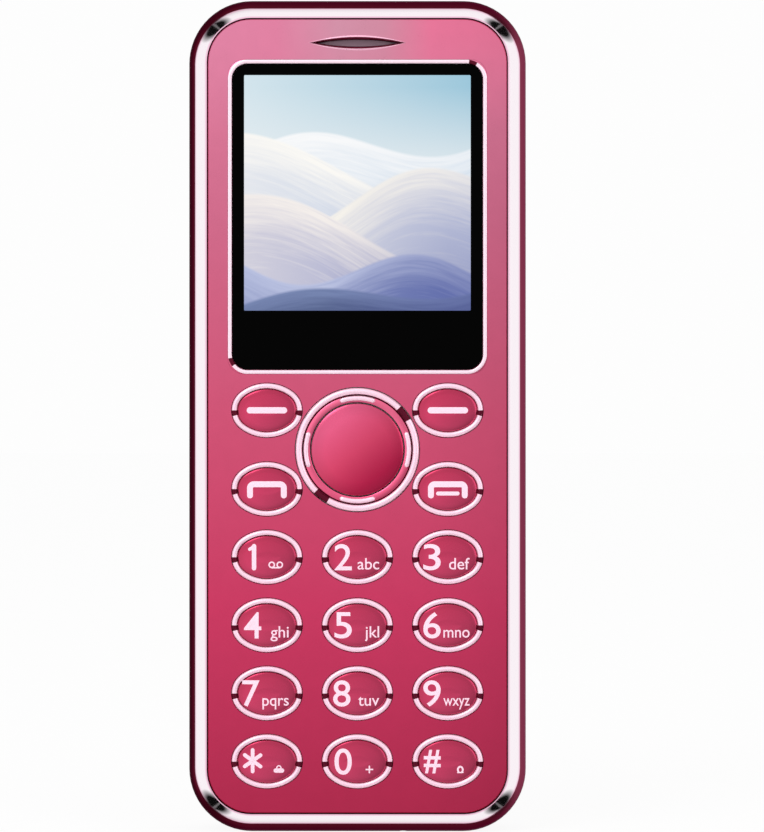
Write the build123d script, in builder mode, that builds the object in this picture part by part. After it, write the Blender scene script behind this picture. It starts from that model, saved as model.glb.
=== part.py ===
from build123d import *
from math import atan2, cos, hypot, radians, sin, tan
import os

# Feature phone in millimetres, standing on its bottom end: front towards -Y, top towards +Z.
# The origin is under the middle of the bottom end, halfway through the depth with the keys.

# Display: picture area of a small colour screen, its black border and its trim
active_width = 25.5
active_height = 26.5
black_side = 1.35
black_top = 1.27
black_bottom = 6.66
lens_gap = 0.03
trim_band = 0.43
trim_corner = 1.8
trim_proud = 0.05
trim_thickness = 0.9
lens_thickness = 0.75
lens_chamfer = 0.1
window_margin = 0.6

# Keys
key_width = 7.84
key_height = 6.0
key_end_radius = 2.55
column_gap = 2.33
row_gap = 1.66
function_gap = 2.85
key_fit = 0.12
rim_band = 0.55
rim_proud = 0.35
key_proud = 0.5
dome_radius = 14.0
key_travel = 0.3
press_gap = 0.05
flange_gap = 0.1
flange_thickness = 0.4
tab_reach = 0.4
tab_width = 3.0
plunger_radius = 0.7
plunger_sides = 4
plunger_reach = 0.35

# Four-way ring and centre key
nav_web = 0.47
nav_band = 1.75
nav_fit = 0.15
nav_rim_band = 0.6
nav_groove_depth = 0.1
nav_tilt = 2.0
nav_dome_proud = 0.5
nav_dome_rise = 0.35
nav_lug_reach = 0.65
nav_lug_width = 2.0
nav_lug_gap = 0.15
nav_lug_thickness = 0.3
ridge_length = 3.6
ridge_width = 0.55
ridge_height = 0.18
actuator_lift = 0.25
actuator_thickness = 0.25
actuator_edge = 0.5
actuator_hole = 2.2
pivot_width = 0.4
pivot_length = 0.9
pivot_gap = 0.02
nub_radius = 0.5
nub_height = 0.1

# Face plate
key_margin = 2.8
key_side_margin = 2.71
display_gap = 1.1
display_side_margin = 2.24
forehead = 4.55
plate_thickness = 1.2
plate_chamfer = 0.08
slit_width = 10.5
slit_height = 1.04
slit_rise = 1.9
rib_height = 0.6
rib_wall = 0.4
boss_reach = 1.2

# Frame: bevel, side curve and walls
plate_gap = 0.15
bevel_land = 0.1
bevel_width = 1.225
bevel_end_width = 0.975
bevel_drop = 0.9
side_curve = 0.775
end_curve = 1.125
curve_drop = 1.7
curve_step_shares = (0, 0.5, 1)
corner_radius = 7.1
frame_wall = 1.5
ledge_width = 0.6
ledge_thickness = 0.7
rim_wall = 1.0
strap_radius = 0.8
strap_cover = 2.5
strap_wall = 0.8
strap_angle = -45

# Depth: board, battery, chassis and cover
dome_height = 0.2
sheet_thickness = 0.1
board_thickness = 0.8
component_height = 1.2
floor_gap = 0.05
floor_thickness = 0.7
battery_gap = 0.1
battery_side_gap = 0.2
battery_thickness = 3.4
battery_edge = 0.35
cover_gap = 0.2
cover_thickness = 0.9
cover_wall = 1.45
cover_side = 2.2
cover_round = 1.8
lip_height = 0.55
lip_gap = 0.1
housing_gap = 0.1
housing_wall = 1.2
deck_thickness = 0.8
bay_wall = 1.75
notch_width = 10.0
notch_height = 0.6
notch_reach = 0.5

# Bought-in parts
panel_margin = 1.3
panel_ledge = 3.6
panel_glass = 0.7
driver_width = 14.0
driver_height = 1.0
driver_thickness = 0.3
tray_wall = 0.8
tray_floor = 0.3
tray_gap = 0.1
flex_width = 12.0
flex_thickness = 0.12
flex_length = 3.2
receiver_width = 9.0
receiver_height = 2.8
receiver_gap = 0.2
grille_margin = 0.5
grille_thickness = 0.15
cell_width = 0.5
cell_height = 0.5
cell_pitch = 0.8
cell_count = 11
dome_size = 2.0
dome_sides = 4
nav_dome_size = 1.25
nav_dome_place = 4.2
mat_hole = 2.25
screw_radius = 0.6
screw_head_radius = 1.1
screw_head_height = 0.5
screw_depth = 0.6
screw_gap = 0.03
head_gap = 0.15
pillar_reach = 1.9
screw_inset = 1.8
screw_top_inset = 2.45
screw_top_place = 11.5
usb_width = 7.6
usb_depth = 2.7
usb_length = 5.4
usb_wall = 0.3
usb_inset = 0.9
usb_gap = 0.15
tongue_width = 4.6
tongue_thickness = 0.6
mic_width = 3.4
mic_height = 2.2
mic_thickness = 1.0
mic_port = 0.4
can_width = 17.0
can_height = 25.0
can_wall = 0.25
socket_width = 12.4
socket_space = 0.4
socket_height = 17.0
socket_slot = 0.8
socket_wall = 0.2
contact_width = 9.0
contact_depth = 2.2
prong_width = 1.0
prong_height = 1.6
recess_depth = 0.3
speaker_radius = 5.8
speaker_thickness = 2.8
magnet_radius = 3.6
speaker_basket = 1.0
slot_length = 6.5
slot_width = 0.8
slot_pitch = 1.7
slot_count = 4
camera_size = 6.8
camera_step = 0.4
barrel_radius = 2.5
barrel_lens = 1.3
window_radius = 3.0
window_thickness = 0.7
window_ledge = 0.6
module_gap = 0.3
motor_radius = 2.0
motor_length = 6.0
motor_gap = 0.1
motor_bore = 0.9
shaft_radius = 0.35
shaft_gap = 0.05
shaft_seat = 2.0
weight_length = 3.0
weight_radius = 1.8
antenna_width = 17.0
antenna_height = 4.6
antenna_thickness = 0.2
antenna_slot = 0.7
antenna_leg = 1.0

overrun = 1.0

# Places up the front, from the bottom end
column_pitch = key_width + column_gap
row_pitch = key_height + row_gap
end_band = end_curve + bevel_end_width + bevel_land + plate_gap
side_band = side_curve + bevel_width + bevel_land + plate_gap
plate_bottom = end_band
row_z = [plate_bottom + key_margin + key_height / 2 + row * row_pitch for row in range(4)]
call_z = row_z[-1] + row_pitch
soft_z = call_z + key_height + function_gap
nav_z = (call_z + soft_z) / 2
trim_bottom = soft_z + key_height / 2 + display_gap
lens_inset = trim_band + lens_gap
lens_width = active_width + 2 * black_side
lens_height = active_height + black_top + black_bottom
trim_width = lens_width + 2 * lens_inset
trim_height = lens_height + 2 * lens_inset
trim_top = trim_bottom + trim_height
trim_z = (trim_bottom + trim_top) / 2
active_z = trim_bottom + lens_inset + black_bottom + active_height / 2
slit_z = trim_top + slit_rise
plate_top = trim_top + forehead
plate_height = plate_top - plate_bottom
keypad_width = 2 * column_pitch + key_width + 2 * key_side_margin
plate_width = max(keypad_width, trim_width + 2 * display_side_margin)
body_width = plate_width + 2 * side_band
body_height = plate_top + end_band
middle_z = body_height / 2

# Depths behind the face plate's front
rib_back = plate_thickness + rib_height
flange_front = plate_thickness + flange_gap
flange_back = flange_front + flange_thickness
mat_front = flange_back + key_travel + press_gap
plunger_tip = mat_front + plunger_reach
dome_front = plunger_tip + key_travel + press_gap
sheet_front = dome_front + dome_height
board_front = sheet_front + sheet_thickness
board_back = board_front + board_thickness
floor_front = board_back + component_height + floor_gap
bay_floor = floor_front + floor_thickness
battery_front = bay_floor + battery_gap
battery_back = battery_front + battery_thickness
cover_front = battery_back + cover_gap
body_depth = cover_front + cover_thickness
parting = body_depth - cover_side
deck_back = cover_front - battery_gap
deck_front = deck_back - deck_thickness
curve_end = bevel_drop + curve_drop
ledge_back = plate_thickness + ledge_thickness
lens_ledge = trim_thickness - trim_proud
front_y = key_proud - (body_depth + key_proud) / 2

# Outlines
bevel_corner = corner_radius - side_curve
opening_corner = bevel_corner - bevel_width - bevel_land
plate_corner = opening_corner - plate_gap
cavity_width = body_width - 2 * frame_wall
cavity_height = body_height - 2 * frame_wall
cavity_corner = corner_radius - frame_wall
corner_x = body_width / 2 - corner_radius
strap_reach = corner_radius - strap_cover
strap_block = strap_reach - strap_radius - strap_wall
strap_depth = (curve_end + parting) / 2

# Four-way ring: its radius leaves a web beside the function keys
oval_angle = atan2((soft_z - call_z) / 2, column_pitch)
oval_reach = key_width / 2 * key_height / 2 / hypot(
    key_height / 2 * cos(oval_angle), key_width / 2 * sin(oval_angle)
)
nav_radius = hypot(column_pitch, (soft_z - call_z) / 2) - oval_reach - nav_web
nav_key_radius = nav_radius - nav_band
nav_bore = nav_key_radius + nav_fit
nav_lug_front = plate_thickness + nav_lug_gap + (nav_radius + nav_lug_reach) * tan(radians(nav_tilt))
nav_lug_back = nav_lug_front + nav_lug_thickness
ridge_front = nav_lug_back + pivot_gap
actuator_front = ridge_front + actuator_lift
actuator_back = actuator_front + actuator_thickness
actuator_radius = nav_radius - actuator_edge
pivot_front = actuator_back + pivot_gap
nav_room = nav_radius + nav_lug_reach + press_gap + rib_wall

columns = (-column_pitch, 0, column_pitch)
keys = [
    (name, column, row)
    for names, row in zip(
        (("key_star", "key_0", "key_hash"), ("key_7", "key_8", "key_9"),
         ("key_4", "key_5", "key_6"), ("key_1", "key_2", "key_3")),
        row_z,
    )
    for name, column in zip(names, columns)
] + [
    ("call_key", columns[0], call_z),
    ("end_key", columns[-1], call_z),
    ("soft_key_left", columns[0], soft_z),
    ("soft_key_right", columns[-1], soft_z),
]
key_places = [(x, z) for name, x, z in keys]

# Screws: one pair between the lowest key rows, one pair beside the receiver
screw_x = plate_width / 2 - screw_inset
screw_places = [
    (side * x, z)
    for x, z in (
        (screw_x, row_z[0] + row_pitch / 2),
        (screw_top_place, plate_top - screw_top_inset),
    )
    for side in (-1, 1)
]

# Battery bay between the socket at the bottom end and the contact block
bay_width = cavity_width - 2 * housing_gap - 2 * bay_wall
bay_bottom = usb_inset + usb_length + housing_wall
bay_top = trim_bottom + battery_side_gap + bay_wall
bay_z = (bay_bottom + bay_top) / 2
bay_height = bay_top - bay_bottom
chamber_bottom = bay_top + contact_depth
chamber_top = plate_top - housing_wall
speaker_place = (-cavity_width / 4, chamber_bottom + housing_wall + speaker_radius)
camera_place = (cavity_width / 4, chamber_top - antenna_height - camera_size)
motor_z = chamber_bottom + housing_wall + motor_radius
motor_depth = board_back + motor_gap + motor_radius
can_x = can_width / 2 + module_gap + housing_wall + housing_gap - cavity_width / 2
can_z = chamber_bottom + housing_wall + can_height / 2
motor_start = can_x + can_width / 2 + module_gap
motor_end = motor_start + motor_length
weight_start = motor_end + module_gap
battery_width = bay_width - 2 * battery_side_gap
battery_height = bay_height - 2 * battery_side_gap
contact_y = front_y + (battery_front + battery_back) / 2
prong_x = [speaker_place[0] + step * contact_width / 3 for step in (-1, 0, 1)]

os.makedirs("parts", exist_ok=True)


def at_depth(depth):
    # a sketch plane that faces the front, this far behind the face plate's front
    return Plane.XZ.offset(-front_y - depth)


def corner_cut(inset):
    # takes the frame's solid corner, which holds the strap hole, off the outline being drawn
    with Locations(Location((corner_x, corner_radius, 0), (0, 0, strap_angle))):
        with Locations((strap_block - inset, 0)):
            Rectangle(corner_radius, 2 * corner_radius, align=(Align.MIN, Align.CENTER),
                      mode=Mode.SUBTRACT)


def oval(x, z, inset, mode=Mode.ADD):
    # a key's outline, this far in from its edge: two end arcs and two side arcs that meet smoothly
    reach_x = key_width / 2 - inset
    reach_z = key_height / 2 - inset
    end = key_end_radius - inset
    side = ((reach_x - end) ** 2 + reach_z ** 2 - end ** 2) / (2 * (reach_z - end))
    turn = atan2(side - reach_z, reach_x - end)
    joint_x = reach_x - end + end * cos(turn)
    joint_z = end * sin(turn)
    corners = [(x + joint_x, z - joint_z), (x + joint_x, z + joint_z),
               (x - joint_x, z + joint_z), (x - joint_x, z - joint_z)]
    with BuildLine() as outline:
        ThreePointArc(corners[0], (x + reach_x, z), corners[1])
        ThreePointArc(corners[1], (x, z + reach_z), corners[2])
        ThreePointArc(corners[2], (x - reach_x, z), corners[3])
        ThreePointArc(corners[3], (x, z - reach_z), corners[0])
    make_face(outline.edges(), mode=mode)


def room_outline(inset):
    # the room inside the frame
    with Locations((0, middle_z)):
        RectangleRounded(cavity_width - 2 * inset, cavity_height - 2 * inset, cavity_corner - inset)
    corner_cut(inset)


def save(piece, name):
    piece.part.label = name
    export_step(piece.part, f"parts/{name}.step")


# Frame: flat bevel falling outwards, then a side that curves out to the widest outline
with BuildPart() as frame:
    bevel_width_across = body_width - 2 * side_curve
    bevel_height_along = body_height - 2 * end_curve
    with BuildSketch(at_depth(0)):
        with Locations((0, middle_z)):
            RectangleRounded(plate_width + 2 * (plate_gap + bevel_land),
                             plate_height + 2 * (plate_gap + bevel_land), opening_corner + bevel_land)
    with BuildSketch(at_depth(bevel_drop)):
        with Locations((0, middle_z)):
            RectangleRounded(bevel_width_across, bevel_height_along, bevel_corner)
    loft(ruled=True)
    for share in curve_step_shares:
        out = 1 - (1 - share) ** 2
        with BuildSketch(at_depth(bevel_drop + share * curve_drop)):
            with Locations((0, middle_z)):
                RectangleRounded(bevel_width_across + 2 * side_curve * out,
                                 bevel_height_along + 2 * end_curve * out,
                                 bevel_corner + side_curve * out)
    loft()
    with BuildSketch(at_depth(parting)):
        with Locations((0, middle_z)):
            RectangleRounded(body_width, body_height, corner_radius)
    extrude(amount=parting - curve_end)
    # Seat of the face plate, ledge under it, room behind the ledge and rebate for the cover's lip
    with BuildSketch(at_depth(plate_thickness)):
        with Locations((0, middle_z)):
            RectangleRounded(plate_width + 2 * plate_gap, plate_height + 2 * plate_gap, opening_corner)
    extrude(amount=plate_thickness + overrun, mode=Mode.SUBTRACT)
    with BuildSketch(at_depth(ledge_back)):
        with Locations((0, middle_z)):
            RectangleRounded(plate_width - 2 * ledge_width, plate_height - 2 * ledge_width,
                             plate_corner - ledge_width)
    extrude(amount=ledge_thickness, mode=Mode.SUBTRACT)
    with BuildSketch(at_depth(parting)):
        room_outline(0)
    extrude(amount=parting - ledge_back, mode=Mode.SUBTRACT)
    with BuildSketch(at_depth(parting)):
        with Locations((0, middle_z)):
            RectangleRounded(body_width - 2 * rim_wall, body_height - 2 * rim_wall,
                             corner_radius - rim_wall)
    extrude(amount=lip_height + lip_gap, mode=Mode.SUBTRACT)
    # Mouth of the socket and sound hole of the microphone, in the bottom end
    with BuildSketch(Plane.XY.offset(frame_wall)):
        with Locations((0, front_y + board_back + usb_depth / 2)):
            RectangleRounded(usb_width + 2 * usb_gap, usb_depth + 2 * usb_gap, usb_wall)
        with Locations((nav_key_radius, front_y + board_front - mic_thickness / 2)):
            Circle(mic_port)
    extrude(amount=-frame_wall - overrun, mode=Mode.SUBTRACT)
    # Strap hole through the lower corner on +X
    strap_x = corner_x + strap_reach * cos(radians(strap_angle))
    strap_z = corner_radius + strap_reach * sin(radians(strap_angle))
    with BuildSketch(Plane(origin=(strap_x, front_y + strap_depth, strap_z), z_dir=(1, 0, 1))):
        Circle(strap_radius)
    extrude(amount=2 * corner_radius, both=True, mode=Mode.SUBTRACT)
save(frame, "frame")

# Face plate: key holes, stepped display window, earpiece slit, locating ribs and screw bosses
with BuildPart() as front_cover:
    with BuildSketch(at_depth(plate_thickness)):
        with Locations((0, middle_z)):
            RectangleRounded(plate_width, plate_height, plate_corner)
    extrude(amount=plate_thickness)
    chamfer(front_cover.faces().sort_by(Axis.Y)[0].edges(), plate_chamfer)
    with BuildSketch(at_depth(rib_back)):
        with Locations((0, middle_z)):
            with GridLocations(plate_width - 2 * (ledge_width + press_gap) - rib_wall, rib_wall, 2, 1):
                Rectangle(rib_wall, plate_height - 2 * corner_radius)
            with GridLocations(rib_wall, plate_height - 2 * (ledge_width + press_gap) - rib_wall, 1, 2):
                Rectangle(plate_width - 2 * corner_radius, rib_wall)
    extrude(amount=rib_height)
    with BuildSketch(at_depth(board_front)):
        with Locations(*screw_places):
            Rectangle(2 * boss_reach, 2 * boss_reach)
            Circle(screw_radius + screw_gap, mode=Mode.SUBTRACT)
    extrude(amount=board_front - plate_thickness)
    with BuildSketch(at_depth(lens_ledge)):
        with Locations((0, trim_z)):
            RectangleRounded(trim_width + 2 * lens_gap, trim_height + 2 * lens_gap,
                             trim_corner + lens_gap)
    extrude(amount=lens_ledge + overrun, mode=Mode.SUBTRACT)
    with BuildSketch(at_depth(plate_thickness)):
        with Locations((0, active_z)):
            Rectangle(active_width + 2 * window_margin, active_height + 2 * window_margin)
        with BuildLine():
            ThreePointArc((-slit_width / 2, slit_z), (0, slit_z + slit_height / 2),
                          (slit_width / 2, slit_z))
            ThreePointArc((slit_width / 2, slit_z), (0, slit_z - slit_height / 2),
                          (-slit_width / 2, slit_z))
        make_face()
        for x, z in key_places:
            oval(x, z, -key_fit)
        with Locations((0, nav_z)):
            Circle(nav_radius + nav_fit)
    extrude(amount=plate_thickness + overrun, mode=Mode.SUBTRACT)
save(front_cover, "front_cover")

# Trim and lens in the stepped window
with BuildPart() as lens_trim:
    with BuildSketch(at_depth(lens_ledge)):
        with Locations((0, trim_z)):
            RectangleRounded(trim_width, trim_height, trim_corner)
            RectangleRounded(trim_width - 2 * trim_band, trim_height - 2 * trim_band,
                             trim_corner - trim_band, mode=Mode.SUBTRACT)
    extrude(amount=trim_thickness)
    chamfer(lens_trim.faces().sort_by(Axis.Y)[0].outer_wire().edges(), trim_band / 4)
save(lens_trim, "lens_trim")

with BuildPart() as display_lens:
    with BuildSketch(at_depth(lens_ledge)):
        with Locations((0, trim_z)):
            RectangleRounded(lens_width, lens_height, trim_corner - lens_inset)
    extrude(amount=lens_thickness)
    chamfer(display_lens.faces().sort_by(Axis.Y)[0].edges(), lens_chamfer)
save(display_lens, "display_lens")

# Display panel: two glass plates, the rear one longer for the driver chip, in a tray on the board
panel_width = active_width + 2 * panel_margin
panel_top = active_z + active_height / 2 + panel_margin
panel_bottom = active_z - active_height / 2 - panel_ledge
panel_z = (panel_top + panel_bottom) / 2
tray_front = plate_thickness + flange_gap
panel_back = board_front - tray_floor
glass_front = panel_back - panel_glass
with BuildPart() as lcd_panel:
    with BuildSketch(at_depth(panel_back)):
        with Locations((0, panel_z)):
            Rectangle(panel_width, panel_top - panel_bottom)
    extrude(amount=panel_glass)
    with BuildSketch(at_depth(glass_front)):
        with Locations((0, panel_top)):
            Rectangle(panel_width, active_height + 2 * panel_margin, align=(Align.CENTER, Align.MAX))
    extrude(amount=glass_front - tray_front)
    with BuildSketch(at_depth(glass_front)):
        with Locations((0, panel_bottom + panel_margin / 2)):
            Rectangle(driver_width, driver_height, align=(Align.CENTER, Align.MIN))
    extrude(amount=driver_thickness)
save(lcd_panel, "lcd_panel")

with BuildPart() as lcd_frame:
    tray_width = panel_width + 2 * (tray_wall + tray_gap)
    tray_height = panel_top - panel_bottom + 2 * (tray_wall + tray_gap)
    with BuildSketch(at_depth(board_front)):
        with Locations((0, panel_z)):
            RectangleRounded(tray_width, tray_height, tray_wall)
    extrude(amount=board_front - tray_front)
    with BuildSketch(at_depth(panel_back)):
        with Locations((0, panel_z)):
            Rectangle(panel_width + 2 * tray_gap, panel_top - panel_bottom + 2 * tray_gap)
    extrude(amount=board_front, mode=Mode.SUBTRACT)
    # Gap in the lower wall for the ribbon
    with BuildSketch(at_depth(panel_back)):
        with Locations((0, panel_z - tray_height / 2)):
            Rectangle(flex_width + 2 * tray_gap, 2 * tray_wall + tray_gap)
    extrude(amount=board_front, mode=Mode.SUBTRACT)
save(lcd_frame, "lcd_frame")

# Ribbon: from the panel's ledge over the tray's lower edge and down to the board
with BuildPart() as lcd_flex:
    flex_start = panel_bottom + panel_margin / 2 - tray_gap
    flex_edge = panel_z - tray_height / 2 - flex_thickness
    flex_low = glass_front - flex_thickness / 2
    flex_high = board_front - flex_thickness / 2
    with BuildSketch(Plane.YZ):
        with BuildLine():
            FilletPolyline((front_y + flex_low, flex_start), (front_y + flex_low, flex_edge),
                           (front_y + flex_high, flex_edge),
                           (front_y + flex_high, flex_edge - flex_length), radius=2 * flex_thickness)
        trace(line_width=flex_thickness)
    extrude(amount=flex_width / 2, both=True)
save(lcd_flex, "lcd_flex")

# Earpiece: perforated grille under the slit, and the receiver behind it
with BuildPart() as earpiece_grille:
    with BuildSketch(at_depth(plate_thickness + grille_thickness)):
        with Locations((0, slit_z)):
            Rectangle(slit_width + 2 * grille_margin, slit_height + 2 * grille_margin)
            with GridLocations(cell_pitch, cell_pitch, cell_count, 1):
                Rectangle(cell_width, cell_height, mode=Mode.SUBTRACT)
    extrude(amount=grille_thickness)
save(earpiece_grille, "earpiece_grille")

receiver_front = plate_thickness + grille_thickness
receiver_z = panel_z + tray_height / 2 + receiver_gap + receiver_height / 2
with BuildPart() as earpiece_speaker:
    with BuildSketch(at_depth(board_front)):
        with Locations((0, receiver_z)):
            Rectangle(receiver_width, receiver_height)
    extrude(amount=board_front - receiver_front)
    with BuildSketch(at_depth(receiver_front)):
        with Locations((0, receiver_z)):
            Rectangle(receiver_width - 4 * receiver_gap, receiver_height - 4 * receiver_gap)
    extrude(amount=-receiver_gap, mode=Mode.SUBTRACT)
save(earpiece_speaker, "earpiece_speaker")

# Keys: flat bright rim round a domed centre, two holding tabs and a plunger
for name, x, z in keys:
    with BuildPart() as keycap:
        with BuildSketch(at_depth(flange_back)):
            oval(x, z, rim_band)
        extrude(amount=flange_back + key_proud)
        with Locations((x, front_y - key_proud + dome_radius, z)):
            Sphere(dome_radius, mode=Mode.INTERSECT)
        with BuildSketch(at_depth(flange_back)):
            oval(x, z, 0)
            oval(x, z, rim_band, Mode.SUBTRACT)
        extrude(amount=flange_back + rim_proud)
        with BuildSketch(at_depth(flange_back)):
            with Locations((x, z)):
                Rectangle(tab_width, key_height + 2 * tab_reach)
        extrude(amount=flange_thickness)
        with BuildSketch(at_depth(plunger_tip)):
            with Locations((x, z)):
                RegularPolygon(plunger_radius, plunger_sides)
        extrude(amount=plunger_tip - flange_back)
    save(keycap, name)

# Centre key: one dome with a plunger
with BuildPart() as nav_key:
    nav_key_back = nav_lug_front
    nav_dome_radius = (nav_key_radius ** 2 + nav_dome_rise ** 2) / (2 * nav_dome_rise)
    with BuildSketch(at_depth(nav_key_back)):
        with Locations((0, nav_z)):
            Circle(nav_key_radius)
    extrude(amount=nav_key_back + nav_dome_proud)
    with Locations((0, front_y - nav_dome_proud + nav_dome_radius, nav_z)):
        Sphere(nav_dome_radius, mode=Mode.INTERSECT)
    with BuildSketch(at_depth(plunger_tip)):
        with Locations((0, nav_z)):
            RegularPolygon(plunger_radius, plunger_sides)
    extrude(amount=plunger_tip - nav_key_back)
save(nav_key, "nav_key")

# Four-way ring: bright rim, lower band with four ridges, and four holding lugs
with BuildPart() as nav_ring:
    with BuildSketch(at_depth(nav_lug_back)):
        with Locations((0, nav_z)):
            Circle(nav_radius)
            Circle(nav_bore, mode=Mode.SUBTRACT)
    extrude(amount=nav_lug_back + nav_groove_depth)
    with BuildSketch(at_depth(nav_lug_back)):
        with Locations((0, nav_z)):
            Circle(nav_radius)
            Circle(nav_radius - nav_rim_band, mode=Mode.SUBTRACT)
    extrude(amount=nav_lug_back + rim_proud)
    with BuildSketch(at_depth(-nav_groove_depth)):
        with Locations((0, nav_z)):
            with PolarLocations((nav_bore + nav_radius - nav_rim_band) / 2, 4):
                Rectangle(ridge_width, ridge_length)
    extrude(amount=ridge_height)
    with BuildSketch(at_depth(nav_lug_back)):
        with Locations((0, nav_z)):
            with PolarLocations(nav_radius, 4):
                Rectangle(2 * nav_lug_reach, nav_lug_width)
    extrude(amount=nav_lug_thickness)
save(nav_ring, "nav_ring")

# Actuator under the ring: it rocks on the mat's two pivots, and the ring rocks on its two ridges
with BuildPart() as nav_actuator:
    with BuildSketch(at_depth(actuator_back)):
        with Locations((0, nav_z)):
            Circle(actuator_radius)
            Circle(actuator_hole, mode=Mode.SUBTRACT)
    extrude(amount=actuator_thickness)
    with BuildSketch(at_depth(actuator_front)):
        with Locations((0, nav_z)):
            with PolarLocations(actuator_radius, 2, start_angle=90):
                Rectangle(pivot_length, pivot_width, align=(Align.MAX, Align.CENTER))
    extrude(amount=actuator_lift)
    with BuildSketch(at_depth(actuator_back)):
        with Locations((0, nav_z)):
            with PolarLocations(nav_dome_place, 4):
                RegularPolygon(nub_radius, dome_sides)
    extrude(amount=-nub_height)
save(nav_actuator, "nav_actuator")

# Silicone mat: a web on the dome sheet with a hole at each dome and two pivots under the actuator
mat_width = plate_width - 2 * (ledge_width + press_gap + rib_wall + tray_gap)
mat_bottom = plate_bottom + key_margin
mat_top = panel_z - tray_height / 2 - flex_length - 2 * tray_gap
mat_z = (mat_bottom + mat_top) / 2
with BuildPart() as keypad_mat:
    with BuildSketch(at_depth(sheet_front)):
        with Locations((0, mat_z)):
            RectangleRounded(mat_width, mat_top - mat_bottom, boss_reach)
        corner_cut(housing_gap)
        with Locations(*key_places):
            Rectangle(2 * mat_hole, 2 * mat_hole, mode=Mode.SUBTRACT)
        with Locations((0, nav_z)):
            Circle(nav_room, mode=Mode.SUBTRACT)
        with Locations(*screw_places):
            Rectangle(2 * (boss_reach + press_gap), 2 * (boss_reach + press_gap), mode=Mode.SUBTRACT)
    extrude(amount=sheet_front - mat_front)
    with BuildSketch(at_depth(sheet_front)):
        with Locations((0, nav_z)):
            with PolarLocations(nav_room + pivot_length, 2):
                Rectangle(nav_room + 2 * pivot_length - actuator_radius, pivot_width,
                          align=(Align.MAX, Align.CENTER))
    extrude(amount=sheet_front - pivot_front)
save(keypad_mat, "keypad_mat")

# Dome sheet: four-sided metal domes on a thin film
with BuildPart() as dome_sheet:
    with BuildSketch(at_depth(board_front)):
        with Locations((0, mat_z)):
            RectangleRounded(mat_width, mat_top - mat_bottom, boss_reach)
        corner_cut(housing_gap)
        with Locations(*screw_places):
            Rectangle(2 * (boss_reach + press_gap), 2 * (boss_reach + press_gap), mode=Mode.SUBTRACT)
    extrude(amount=sheet_thickness)
    with BuildSketch(at_depth(sheet_front)):
        with Locations(*key_places, (0, nav_z)):
            RegularPolygon(dome_size, dome_sides)
        with Locations((0, nav_z)):
            with PolarLocations(nav_dome_place, 4):
                RegularPolygon(nav_dome_size, dome_sides)
    extrude(amount=dome_height)
save(dome_sheet, "dome_sheet")

# Main board behind everything on the front, screwed between the bosses and the chassis
with BuildPart() as main_board:
    with BuildSketch(at_depth(board_back)):
        room_outline(2 * housing_gap)
        with Locations(*screw_places):
            Circle(screw_radius + screw_gap, mode=Mode.SUBTRACT)
    extrude(amount=board_thickness)
save(main_board, "main_board")

with BuildPart() as housing_screws:
    with BuildSketch(at_depth(bay_floor - screw_gap)):
        with Locations(*screw_places):
            Circle(screw_head_radius)
    extrude(amount=screw_head_height)
    with BuildSketch(at_depth(bay_floor - screw_gap - screw_head_height)):
        with Locations(*screw_places):
            Circle(screw_radius)
    extrude(amount=bay_floor - screw_gap - screw_head_height - plate_thickness - screw_depth)
save(housing_screws, "housing_screws")

# Microphone on the board's front, at the sound hole
with BuildPart() as microphone:
    with BuildSketch(at_depth(board_front)):
        with Locations((nav_key_radius, frame_wall + housing_gap)):
            Rectangle(mic_width, mic_height, align=(Align.CENTER, Align.MIN))
    extrude(amount=mic_thickness)
    with BuildSketch(Plane.XY.offset(frame_wall + housing_gap)):
        with Locations((nav_key_radius, front_y + board_front - mic_thickness / 2)):
            Circle(mic_port / 2)
    extrude(amount=mic_height / 2, mode=Mode.SUBTRACT)
save(microphone, "microphone")

# Charging socket: a thin shell with a tongue, its mouth in the bottom end
with BuildPart() as usb_port:
    usb_y = front_y + board_back + usb_depth / 2
    with BuildSketch(Plane.XY.offset(usb_inset)):
        with Locations((0, usb_y)):
            Rectangle(usb_width, usb_depth)
    extrude(amount=usb_length)
    with BuildSketch(Plane.XY.offset(usb_inset)):
        with Locations((0, usb_y)):
            Rectangle(usb_width - 2 * usb_wall, usb_depth - 2 * usb_wall)
    extrude(amount=usb_length - usb_wall, mode=Mode.SUBTRACT)
    with BuildSketch(Plane.XY.offset(usb_inset + usb_length - usb_wall)):
        with Locations((0, usb_y)):
            Rectangle(tongue_width, tongue_thickness)
    extrude(amount=-usb_length / 2 - usb_wall)
save(usb_port, "usb_port")

# Radio can on the board's back
with BuildPart() as shield_can:
    with BuildSketch(at_depth(board_back + component_height)):
        with Locations((can_x, can_z)):
            Rectangle(can_width, can_height)
    extrude(amount=component_height)
    with BuildSketch(at_depth(board_back + component_height - can_wall)):
        with Locations((can_x, can_z)):
            Rectangle(can_width - 2 * can_wall, can_height - 2 * can_wall)
    extrude(amount=component_height, mode=Mode.SUBTRACT)
save(shield_can, "shield_can")

# SIM sockets: two open-ended metal frames under the battery
socket_places = [(side * (socket_width + socket_space) / 2, bay_z) for side in (-1, 1)]
with BuildPart() as sim_sockets:
    with BuildSketch(at_depth(board_back + component_height)):
        with Locations(*socket_places):
            Rectangle(socket_width, socket_height)
    extrude(amount=component_height)
    with BuildSketch(at_depth(board_back + socket_wall + socket_slot)):
        with Locations(*socket_places):
            Rectangle(socket_width - 2 * socket_slot, 2 * socket_height,
                      align=(Align.CENTER, Align.MAX))
    extrude(amount=socket_slot, mode=Mode.SUBTRACT)
    with BuildSketch(at_depth(board_back + component_height)):
        with Locations(*socket_places):
            Rectangle(socket_width / 2, socket_height / 2)
    extrude(amount=socket_slot, mode=Mode.SUBTRACT)
save(sim_sockets, "sim_sockets")

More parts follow.
